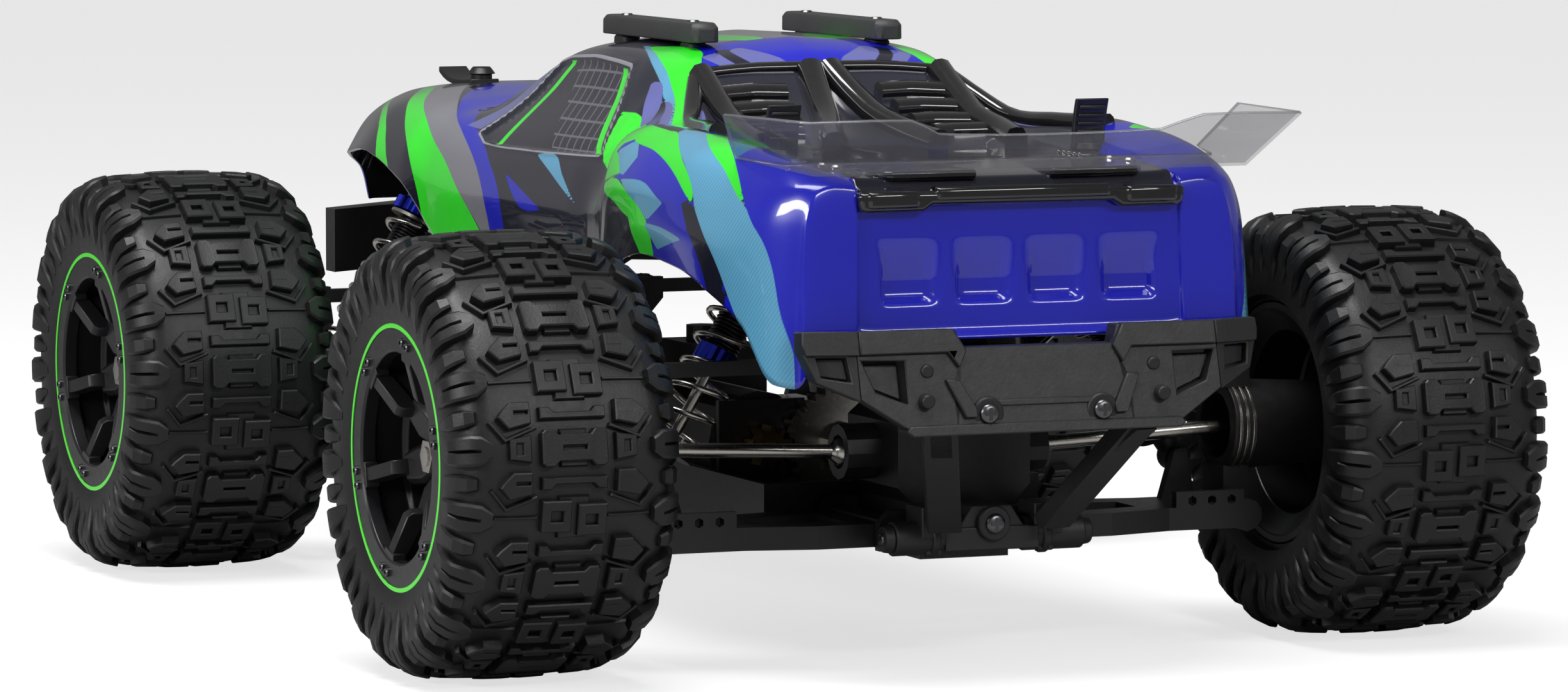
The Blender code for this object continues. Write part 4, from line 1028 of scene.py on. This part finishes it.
def bed_fittings():
    """Screws with washers and a ribbed pad at each side of the bed cover."""
    screws, pads = bmesh.new(), bmesh.new()
    plate_outline = ((-46, 10), (-46, 33), (-42, 36), (-22, 36), (-18, 33), (-18, 10))
    for s in (-1, 1):
        for x, y in ((-17.6, 39.0), (-27.5, 39.6)):
            at = (TAIL_X + x, s * y, 124.2)
            cylinder(screws, (at[0], at[1], 122), at, 2.6, 2.4, steps=18)
            screw_head(screws, at, (0, 0, 1), 1.7, 1.4)
        block(pads, (TAIL_X - 34, TAIL_X - 8), (s * 34.6, s * 42.4), (121.5, 124.0))
        for k in range(5):
            x = TAIL_X - 5 + k * 3.2
            block(pads, (x, x + 1.5), (s * 36, s * 42), (123.4, 125.8))
        extrude(pads, [(TAIL_X + x, s * y) for x, y in plate_outline], "Z", 122.6, 124.9)
    piece("bed_screws", screws, "body", STEEL, "steel")
    piece("bed_pads", pads, "body", GLOSS_BLACK, "body_paint", bevel=0.7)


def tail_edge():
    """The gloss black trim that folds over the tailgate's top edge, deeper towards its ends."""
    half = [(43.6, 120.2), (43.2, 115.9), (41.5, 115.2), (26.5, 115.2), (24.0, 116.8)]
    trim = bmesh.new()
    extrude(trim, half + [(-y, z) for y, z in reversed(half)], "X", TAIL_X - 51.8, TAIL_X - 47.5)
    for s in (-1, 1):
        block(trim, (TAIL_X - 52.4, TAIL_X - 47), (s * 27.5, s * 41.5), (116.0, 120.4))
    block(trim, (TAIL_X - 52.2, TAIL_X - 47), (-23.5, 23.5), (117.6, 121.2))
    piece("tail_trim", trim, "body", GLOSS_BLACK, "body_paint", bevel=1.1, smooth=50)


def rounded_pad(bm, x, y, z, cut):
    """A bar with cut corners in plan and a chamfered top."""
    (x0, x1), (y0, y1) = x, sorted(y)

    def loop(shrink, level):
        a, b, c, d = x0 + shrink, x1 - shrink, y0 + shrink * 0.6, y1 - shrink * 0.6
        near = [(a + cut, c), (b - cut, c), (b, c + cut), (b, d - cut)]
        far = [(b - cut, d), (a + cut, d), (a, d - cut), (a, c + cut)]
        return [(px, py, level) for px, py in near + far]

    rings(bm, [loop(0, z[0]), loop(0, z[1] - 1.4), loop(1.3, z[1])])


def roof_skids():
    """A runner along each side of the roof on two small feet, with a screw over each foot."""
    for side, s in SIDES.items():
        runner, screws = bmesh.new(), bmesh.new()
        rounded_pad(runner, (-35.8, 31.8), (s * 22.2, s * 29.8), (150.4, 155.6), 1.5)
        for x in (-26, 22):
            rounded_pad(runner, (x - 4, x + 4), (s * 23.4, s * 28.6), (147.0, 151.0), 0.8)
            screw_head(screws, (x, s * 26, 155.5), (0, 0, 1), 1.7, 0.5)
        piece(f"roof_runner_{side}", runner, "body", SKID_PLASTIC, "skid", (f"roof_skid_{side}",), bevel=0.4)
        piece(f"roof_screws_{side}", screws, "body", SCREW, "skid")


# Half of the clear sheet's upright lip from the middle outwards: (y, height of its top)
LIP = (
    (0.0, 134.2), (12.0, 134.3), (24.0, 134.6), (29.5, 135.0),
    (34.0, 136.9), (38.5, 138.6), (46.0, 138.8), (57.5, 138.6),
)


def spoiler():
    """The clear sheet: a fold along the tail, a notched upright lip and two flared ends."""
    bm = bmesh.new()
    grid = []
    for s, half in ((-1, LIP[::-1]), (1, LIP[1:])):
        for y, top in half:
            fan = max(0.0, y - 38) / 19.5
            back = 64 + 8 * min(1.0, max(0.0, y - 24) / 14)
            lip = Vector((TAIL_X - back, s * (y + 7.5 * fan), top))
            front, fold = Vector((TAIL_X - 37.5, s * y, 126.6)), Vector((TAIL_X - 56.5, s * y, 125.2))
            grid.append([bm.verts.new(p) for p in (front, fold, fold.lerp(lip, 0.5), lip)])
    for near, far in zip(grid, grid[1:]):
        for i in range(3):
            bm.faces.new((near[i], near[i + 1], far[i + 1], far[i]))
    for s, row in ((-1, grid[0]), (1, grid[-1])):
        low = bm.verts.new((TAIL_X - 19, s * 62.5, 127.5))
        high = bm.verts.new((TAIL_X - 28, s * 69.5, 138.6))
        bm.faces.new((row[0], row[1], low))
        bm.faces.new((row[1], row[2], high, low))
        bm.faces.new((row[2], row[3], high))
    clear, edge = clear_sheet("clear_polycarbonate", 0.2, 0.34), clear_sheet("clear_edge", 0.55, 0.75)
    sheet = piece("clear_spoiler", bm, "body", clear, "clear_sheet", ("rear_spoiler",), smooth=12)
    sheet.data.materials.append(edge)
    thicken(sheet, 0.8, 0).material_offset_rim = 1


# ---------- Bumpers ----------


def lean_x(y, z):
    """The back face of the rear bumper leans out below and sweeps forward at the ends."""
    return TAIL_X - 59.2 - (87 - z) * 0.27 + max(0.0, abs(y) - 48) * 0.32


def plate(bm, outline, s, thick, stand=0.0, holes=()):
    """A flat piece of the bumper from (y, z) corners, its back face standing out by stand mm."""
    outline = counter_clockwise([(s * y, z) for y, z in outline])
    holes = [counter_clockwise([(s * y, z) for y, z in hole])[::-1] for hole in holes]
    corners = {0: [], 1: []}
    for loop in [outline] + holes:
        made = []
        for depth in (0, 1):
            row = [bm.verts.new((lean_x(y, z) - stand + depth * thick, y, z)) for y, z in loop]
            corners[depth] += row
            made.append(row)
        for i in range(len(loop)):
            j = (i + 1) % len(loop)
            bm.faces.new((made[0][i], made[0][j], made[1][j], made[1][i]))
    for a, b, c in tessellate_polygon([[(y, z, 0) for y, z in loop] for loop in [outline] + holes]):
        for depth in (0, 1):
            bm.faces.new((corners[depth][a], corners[depth][b], corners[depth][c]))


def cross_screw(heads, painted_recess_shade, centre, outward, r):
    """A pan-head screw: a domed head and a gloss black cross in its recess, which is painted shade."""
    dome = ((-0.5, 1.0), (0.14, 1.0), (0.3, 0.92), (0.42, 0.74), (0.5, 0.4), (0.52, 0.02))
    turned(heads, centre, outward, [(h * r, radius * r) for h, radius in dome], 28)
    arm, half = 0.62 * r, 0.15 * r
    outline = []
    for c, q in ((1, 0), (0, 1), (-1, 0), (0, -1)):
        outline += [(x * c + y * q, y * c - x * q) for x, y in ((half, arm), (half, half), (arm, half))]
    turn = Vector(outward).to_track_quat("Z", "Y").to_matrix()
    rings(painted_recess_shade, [[Vector(centre) + turn @ Vector((x, y, h * r)) for x, y in outline] for h in (0.3, 0.56)])


# Pieces across the middle of the rear bumper: half the corners (y, z), thickness, how far it stands out
CENTRE_PLATES = (
    (((24, 63.4), (24, 74), (20.4, 82.6)), 5.5, 0.0),
    (((35.6, 62.0), (37.2, 63.2), (36, 64.6)), 6.5, 0.9),
    (((18.0, 68.6), (16.2, 70.2)), 2.0, 0.5),
)
# Pieces at each side: corners, thickness, how far it stands out, holes
SIDE_PLATES = (
    (((20, 82.6), (21.5, 87), (48, 87), (48, 71.0), (36, 63.4), (23, 63.4)), 5.5, 0.0,
     (((35.8, 80.0), (47.0, 80.3), (44.0, 72.8), (35.8, 69.6)),)),
    (((48, 87), (60.2, 87), (60.5, 82), (58, 75.2), (48, 70.6)), 5.5, 0.0,
     (((50.5, 81.2), (57.6, 81.2), (56.8, 76.4), (49.8, 75.2)),)),
    (((36.5, 79.2), (47, 79.2), (44, 73.4), (36.5, 70.4)), 0.8, -3.2, ()),
    (((50.5, 80.8), (57.6, 80.8), (56.8, 76.6), (49.8, 75.6)), 0.8, -2.2, ()),
    (((19.5, 82.2), (22.5, 87.3), (47.5, 87.3), (47.5, 81.8), (24.5, 81.8), (21.8, 78.0)), 3.0, 1.2, ()),
    (((47.5, 87.3), (60.6, 87.3), (60.9, 84.5), (60.4, 81.8), (47.5, 81.8)), 3.0, 1.2, ()),
    (((22.4, 75.4), (25.8, 75.4), (23.0, 69.4), (21.6, 66.2), (18.4, 66.2), (18.4, 68.2)), 2.0, 1.3, ()),
)
# Round bosses at each side: place of the face behind, centre (y, z), how far it stands out, radius, steps
BOSSES = (((31, 70), (31.4, 70.4), 2.4, 1.9, 16), ((30, 77), (30.2, 77.4), 0.7, 1.8, 16),
          ((15, 67), (15.2, 66.9), 0.5, 4.2, 24))


TUBE_X, TUBE_Z, CLAMP_X, CLAMP_Z = TAIL_X - 29, 33, TAIL_X - 35.0, 36.4


def struts(beam):
    """The two legs of the V from the bumper down to the pin holder, each with a raised face."""
    for s in (-1, 1):
        top, foot = Vector((TAIL_X - 62.0, s * 27.0, 64.0)), Vector((TAIL_X - 36.5, s * 14.6, 36.5))
        across = Vector((0.20, s * 1.0, 0)).normalized() * 4.3
        deep = (foot - top).cross(across).normalized() * 2.4

        def section(point, width, raise_by):
            side, out = across * width, deep * raise_by
            return [point + side + out, point + side - deep, point - side - deep, point - side + out]

        rings(beam, [section(top, 1, 1), section(foot, 1, 1)])
        rings(beam, [section(top, 0.7, 1.6), section(top.lerp(foot, 0.25), 0.7, 1.0)])


def pin_holder():
    """The bracket under the bumper and the cross tube and clamp that hold the lower hinge pins."""
    low = bmesh.new()
    bracket_x = TAIL_X - 16.4
    block(low, (TAIL_X - 60, bracket_x), (-12, 12), (63.4, 66.8))
    gusset = [(TAIL_X - 60, 66), (bracket_x, 66), (bracket_x, 72), (TAIL_X - 40, 67.4)]
    for s in (-1, 1):
        extrude(low, gusset, "Y", *sorted((s * 9, s * 11)))
        for y0, y1, r, r_end in ((9.5, 25.5, 4.3, 4.3), (25.4, 28.0, 3.6, 3.2), (14, 16, 5.0, 5.0)):
            cylinder(low, (TUBE_X, s * y0, TUBE_Z), (TUBE_X, s * y1, TUBE_Z), r, r_end, 24)
        block(low, (TUBE_X - 4.4, TUBE_X + 6), (s * 11.4, s * 19.0), (TUBE_Z, 41))
        block(low, (TUBE_X - 3, TUBE_X + 7.6), (s * 13.0, s * 17.2), (28.8, TUBE_Z))
    block(low, (TAIL_X - 33.6, TAIL_X - 21.4), (-12.6, 12.6), (29.7, 35.6))
    extrude(low, [(-9, 35), (-5.2, 40.8), (5.2, 40.8), (9, 35)], "X", TAIL_X - 33.0, TAIL_X - 22.0)
    cylinder(low, (CLAMP_X + 1.6, 0, CLAMP_Z), (CLAMP_X, 0, CLAMP_Z), 4.6, 4.3, 24)
    piece("rear_pin_holder", low, "chassis", BUMPER_PLASTIC, "bumper", bevel=0.4)


def rear_bumper():
    """The beam with its plates, bosses and struts, the pin holder and the screws."""
    beam = bmesh.new()
    for half, thick, stand in CENTRE_PLATES:
        plate(beam, half + tuple((-y, z) for y, z in reversed(half)), 1, thick, stand)
    for s in (-1, 1):
        for outline, thick, stand, holes in SIDE_PLATES:
            plate(beam, outline, s, thick, stand, holes)
        for behind, (y, z), out, r, steps in BOSSES:
            x = lean_x(*behind)
            cylinder(beam, (x + 1, s * y, z), (x - out, s * y, z), r, r - 0.2, steps)
    struts(beam)
    piece("rear_bumper_beam", beam, "chassis", BUMPER_PLASTIC, "bumper", ("rear_bumper",), bevel=0.45)
    pin_holder()

    screws, painted_recess_shade = bmesh.new(), bmesh.new()
    (behind, (y, z), *_) = BOSSES[-1]
    for s in (-1, 1):
        cross_screw(screws, painted_recess_shade, (lean_x(*behind) - 0.6, s * y, z), (-1, 0, 0), 2.5)
    cross_screw(screws, painted_recess_shade, (CLAMP_X + 0.1, 0, CLAMP_Z), (-1, 0, 0), 2.6)
    for s in (-1, 1):
        cross_screw(screws, painted_recess_shade, (TUBE_X, s * 27.9, TUBE_Z), (0, s, 0), 1.5)
    piece("rear_bumper_screws", screws, "chassis", SCREW, "steel", smooth=40)
    # The gloss black crosses are painted shade in the screws' recesses.
    piece("rear_bumper_crosses", painted_recess_shade, "chassis", GLOSS_BLACK, "steel")


def front_bumper_details():
    """Raised pads and two cross-head screws on the front bumper's face."""
    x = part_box("front_bumper")[1][0] / MM
    pads, screws, painted_recess_shade = bmesh.new(), bmesh.new(), bmesh.new()
    for s in (-1, 1):
        for k in range(3):
            block(pads, (x - 1.5, x + 0.9), (s * (4.5 + 8 * k), s * (9.5 + 8 * k)), (81.5, 90.5))
        cross_screw(screws, painted_recess_shade, (x - 1.6, s * 9, 73.5), (1, 0, 0), 2.5)
    piece("front_bumper_pads", pads, "chassis", BUMPER_PLASTIC, "bumper", bevel=0.5)
    piece("front_bumper_screws", screws, "chassis", SCREW, "steel", smooth=40)
    # The gloss black crosses are painted shade in the screws' recesses.
    piece("front_bumper_crosses", painted_recess_shade, "chassis", GLOSS_BLACK, "steel")


# ---------- Shocks, drive shafts and hubs ----------

SHOCK_DX, SHOCK_TOP, SHOCK_FOOT = 14.0, (38.0, 104.0), (72.0, 46.0)
SPRING_FROM, SPRING_TO, SPRING_R, WIRE_R, SPRING_TURNS = 13.2, 57.0, 7.1, 0.75, 6
COIL_STEPS, WIRE_STEPS = 22, 8
# Profiles as (mm below the top eye, radius), with their steps and grip ribs
ALLOY_RINGS = (
    (((3.0, 3.4), (3.4, 5.4), (7.4, 5.4), (7.8, 4.6)), 48, 16, 0.5),
    (((7.6, 6.9), (8.0, 7.7), (11.4, 7.7), (11.8, 6.9)), 64, 16, 0.7),
    (((30.6, 4.7), (31, 5.5), (35.2, 5.5), (35.8, 4.4)), 48, 12, 0.5),
)
THREAD = [(11 + k + a, r) for k in range(20) for a, r in ((0, 4.35), (0.35, 4.7), (0.65, 4.7))] + [(31, 4.35)]


def pin_across(bm, centre, reach, r, steps):
    """A cylinder along X through a point."""
    cylinder(bm, centre - Vector((reach, 0, 0)), centre + Vector((reach, 0, 0)), r, steps=steps)


def spring_mesh(top, along):
    """The coil, with its end turns drawn in a little."""
    bm = bmesh.new()
    turn = along.to_track_quat("Z", "Y").to_matrix()
    steps = SPRING_TURNS * COIL_STEPS
    loops = []
    for i in range(steps + 1):
        share = i / steps
        flat = min(1.0, share * SPRING_TURNS, (1 - share) * SPRING_TURNS)
        height = SPRING_FROM + WIRE_R + (SPRING_TO - SPRING_FROM - 2 * WIRE_R) * share
        a = math.tau * SPRING_TURNS * share
        out = turn @ Vector((math.cos(a), math.sin(a), 0))
        centre = top + along * height + out * (SPRING_R - 0.3 * (1 - flat))
        wire = [out * (WIRE_R * c) + along * (WIRE_R * s) for c, s in around_circle(WIRE_STEPS)]
        loops.append([centre + offset for offset in wire])
    rings(bm, loops)
    return bm


def shocks():
    """Four coil-over shocks: the barrel rides on the upper body, the rod and foot on the lower."""
    for end, side in CORNERS:
        tag = f"{end}_{side}"
        upper, lower = f"shock_{tag}", f"piston_{tag}"
        s, x = SIDES[side], AXLE_X[end] + SHOCK_DX
        top = Vector((x, s * SHOCK_TOP[0], SHOCK_TOP[1]))
        foot = Vector((x, s * SHOCK_FOOT[0], SHOCK_FOOT[1]))
        length = (foot - top).length
        along = (foot - top) / length

        alloy, barrel, trims, rod, end_piece = (bmesh.new() for _ in range(5))
        for profile, steps, ribs, depth in ALLOY_RINGS:
            turned(alloy, top, along, profile, steps, ribs, depth)
        turned(barrel, top, along, THREAD, 32)
        pin_across(barrel, top, 2.6, 3.7, 24)
        turned(barrel, top, along, ((0.5, 2.6), (3.4, 3.2)))
        turned(trims, top, along, ((11.9, 5.2), (12.0, 7.4), (12.9, 7.4), (13.0, 5.2)), 40)
        screw_head(trims, top + Vector((3.6, 0, 0)), (1, 0, 0), 2.6, 1.8)
        turned(rod, top, along, ((26.0, 1.4), (length - 6.5, 1.4)))
        seat = length - 9.0
        cup = ((0, 2.2), (0, 7.3), (0.7, 7.4), (1.9, 7.0), (2.2, 3.4), (6.0, 3.0))
        turned(end_piece, top, along, [(seat + a, r) for a, r in cup], 36)
        pin_across(end_piece, foot, 2.3, 3.8, 24)

        piece(f"shock_caps_{tag}", alloy, upper, BLUE_ALLOY, "shock_alloy", (f"shock_body_{tag}",))
        piece(f"shock_barrel_{tag}", barrel, upper, DARK_METAL, "black_plastic", smooth=50)
        piece(f"shock_ring_{tag}", trims, upper, STEEL, "steel")
        piece(f"shock_shaft_{tag}", rod, lower, STEEL, "steel", (f"shock_rod_{tag}",))
        piece(f"shock_foot_{tag}", end_piece, lower, PLASTIC, "black_plastic", bevel=0.2)
        coil = piece(f"shock_spring_{tag}", spring_mesh(top, along), None, STEEL, "steel", smooth=60)
        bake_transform(coil)
        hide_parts(f"spring_{tag}")


CUP_IN, CUP_OUT = (26.0, 52.0), (90.0, 55.0)
BALL_R, BALL_STEPS, SHAFT_R, SHAFT_FROM = 3.8, 8, 1.8, 3.3


def driveshafts():
    """Dog-bone shafts: a bar with a ball and a cross pin at each end."""
    for end, side in CORNERS:
        tag = f"{end}_{side}"
        s, x = SIDES[side], AXLE_X[end]
        inner, outer = Vector((x, s * CUP_IN[0], CUP_IN[1])), Vector((x, s * CUP_OUT[0], CUP_OUT[1]))
        length = (outer - inner).length
        profile = []
        for centre in (0.0, length):
            for k in range(BALL_STEPS + 1):
                a = math.pi * k / BALL_STEPS
                place = centre - BALL_R * math.cos(a)
                least = SHAFT_R if SHAFT_FROM < place < length - SHAFT_FROM else 0.15
                profile.append((place, max(least, BALL_R * math.sin(a))))
        shaft, pins = bmesh.new(), bmesh.new()
        turned(shaft, inner, outer - inner, profile, 28)
        for centre, reach in ((inner, 4.1), (outer, 3.85)):
            pin_across(pins, centre, reach, 1.0, 12)
        body = f"shaft_{tag}"
        piece(body, shaft, body, STEEL, "steel", (f"driveshaft_{tag}",), smooth=50)
        piece(f"shaft_pins_{tag}", pins, body, SCREW, "steel")


SLEEVE = ((77.1, 8.9), (77.1, 11.3), (77.6, 11.85), (106.6, 10.35), (107, 9.9), (107, 9.2))


def hub_sleeves():
    """A smooth sleeve over each rear hub with three bright bearing rings at its mouth."""
    for side, s in SIDES.items():
        sleeve, bands = bmesh.new(), bmesh.new()
        lathe(sleeve, SLEEVE, 64)
        for y in (78.4, 80.3, 82.2):
            lathe(bands, ((y, 11.2), (y, 12.1), (y + 0.9, 12.1), (y + 0.9, 11.2)), 64)
        for name, bm, finish, slot in (
            ("sleeve", sleeve, PLASTIC, "black_plastic"), ("rings", bands, STEEL, "steel"),
        ):
            mirror(bm, s)
            at = (AXLE_X["rear"], 0, AXLE_Z)
            piece(f"hub_{name}_{side}", bm, f"hub_rear_{side}", finish, slot, bevel=0.15, at=at)


# ---------- Finishes for the frame's own pieces ----------

# How a name starts, its finish, its slot and how far its edges are rounded; the first match counts
BARE = (
    (("lower_arm", "chassis_tray"), PLASTIC, "black_plastic", 0.5),
    (("hub_rear", "caster_block", "steering_knuckle", "front_gearbox", "rear_gearbox"),
     PLASTIC, "black_plastic", 0.4),
    (("upper_link", "steering_rack", "tie_rod"), PLASTIC, "black_plastic", 0.3),
    (("front_bumper",), BUMPER_PLASTIC, "bumper", 2.4),
    (("centre_driveshaft",), STEEL, "steel", 0.1),
    (("axle",), STEEL, "steel", 0.2),
    (("motor_pinion",), BRASS, "brass", 0.1),
    (("motor",), MOTOR_CAN, "motor_can", 0.5),
    (("battery_pack",), WRAP, "battery_wrap", 0.0),
    (("speed_controller", "steering_servo"), CASE, "electronics_case", 0.5),
)


def frame_finishes():
    """Materials and softened edges for the frame pieces that stay in view as they are."""
    for name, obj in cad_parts.items():
        for stems, finish, slot, width in BARE:
            if name.startswith(stems):
                obj.data.materials.clear()
                obj.data.materials.append(finish)
                if width:
                    round_edges(obj, width, 42)
                break


# ---------- Stage, light and camera ----------

CAMERA_AT = (-1774.8, 721.9, 232.7)
CAMERA_TOWARDS = (0.9210, -0.3800, -0.0859)
LENS_MM = 165.15
FLOOR_HALF = 12  # metres
FLOOR_GREY, FLOOR_GLOW = 0.36, 0.7  # the glow is seen by the camera alone
WORLD_LIGHT, WORLD_SEEN = 0.2, 1.0  # strength for lighting and for the camera
# Name, place and size in metres, watts; every lamp points at AIM
LAMPS = (
    ("key_overhead", (-0.2, 0.3, 1.5), (1.3, 0.4), 24),
    ("rear_strip", (-1.5, -0.4, 0.9), (0.9, 0.16), 7),
    ("left_strip", (-0.6, 1.6, 0.7), (1.1, 0.2), 12),
)
AIM = Vector((0, 0, 0.08))


def stage():
    """A pale floor and a white world that light the truck less than the camera sees of them."""
    bm = bmesh.new()
    bmesh.ops.create_grid(bm, x_segments=1, y_segments=1, size=FLOOR_HALF)
    mesh = bpy.data.meshes.new("floor")
    bm.to_mesh(mesh)
    bm.free()
    n = Nodes("studio_floor")
    seen_directly = n.add("ShaderNodeLightPath").outputs["Is Camera Ray"]
    n.set(Base_Color=rgb(FLOOR_GREY, FLOOR_GREY, FLOOR_GREY), Roughness=0.9)
    n.set(Emission_Color=rgb(1, 1, 1), Emission_Strength=n.math("MULTIPLY", seen_directly, FLOOR_GLOW))
    mesh.materials.append(n.material)
    floor = bpy.data.objects.new("studio_floor", mesh)
    bpy.context.scene.collection.objects.link(floor)
    world = bpy.data.worlds.new("studio")
    world.use_nodes = True
    tree = world.node_tree
    seen_directly = tree.nodes.new("ShaderNodeLightPath").outputs["Is Camera Ray"]
    strength = tree.nodes.new("ShaderNodeMapRange")
    strength.inputs["To Min"].default_value = WORLD_LIGHT
    strength.inputs["To Max"].default_value = WORLD_SEEN
    tree.links.new(seen_directly, strength.inputs["Value"])
    tree.links.new(strength.outputs[0], tree.nodes["Background"].inputs["Strength"])
    tree.nodes["Background"].inputs["Color"].default_value = rgb(1, 1, 1)
    bpy.context.scene.world = world


def lights():
    """The area lights."""
    for name, place, size, watts in LAMPS:
        data = bpy.data.lights.new(name, "AREA")
        data.shape = "RECTANGLE"
        data.size, data.size_y = size
        data.energy = watts
        lamp = bpy.data.objects.new(name, data)
        lamp.location = place
        lamp.rotation_euler = (AIM - Vector(place)).to_track_quat("-Z", "Y").to_euler()
        bpy.context.scene.collection.objects.link(lamp)


def camera():
    data = bpy.data.cameras.new("camera")
    data.lens = LENS_MM
    data.sensor_width = 36.0
    data.clip_start = 0.05
    obj = bpy.data.objects.new("camera", data)
    obj.location = Vector(CAMERA_AT) * MM
    obj.rotation_euler = Vector(CAMERA_TOWARDS).to_track_quat("-Z", "Y").to_euler()
    bpy.context.scene.collection.objects.link(obj)
    bpy.context.scene.camera = obj
    bpy.context.scene.view_settings.view_transform = "Standard"


for build in (
    frame_finishes, tyres, rims, body_shell, cab_wall, louvres, latches, bed_fittings, tail_edge, roof_skids,
    spoiler, rear_bumper, shocks, front_bumper_details, driveshafts, hub_sleeves, stage, lights, camera,
):
    build()
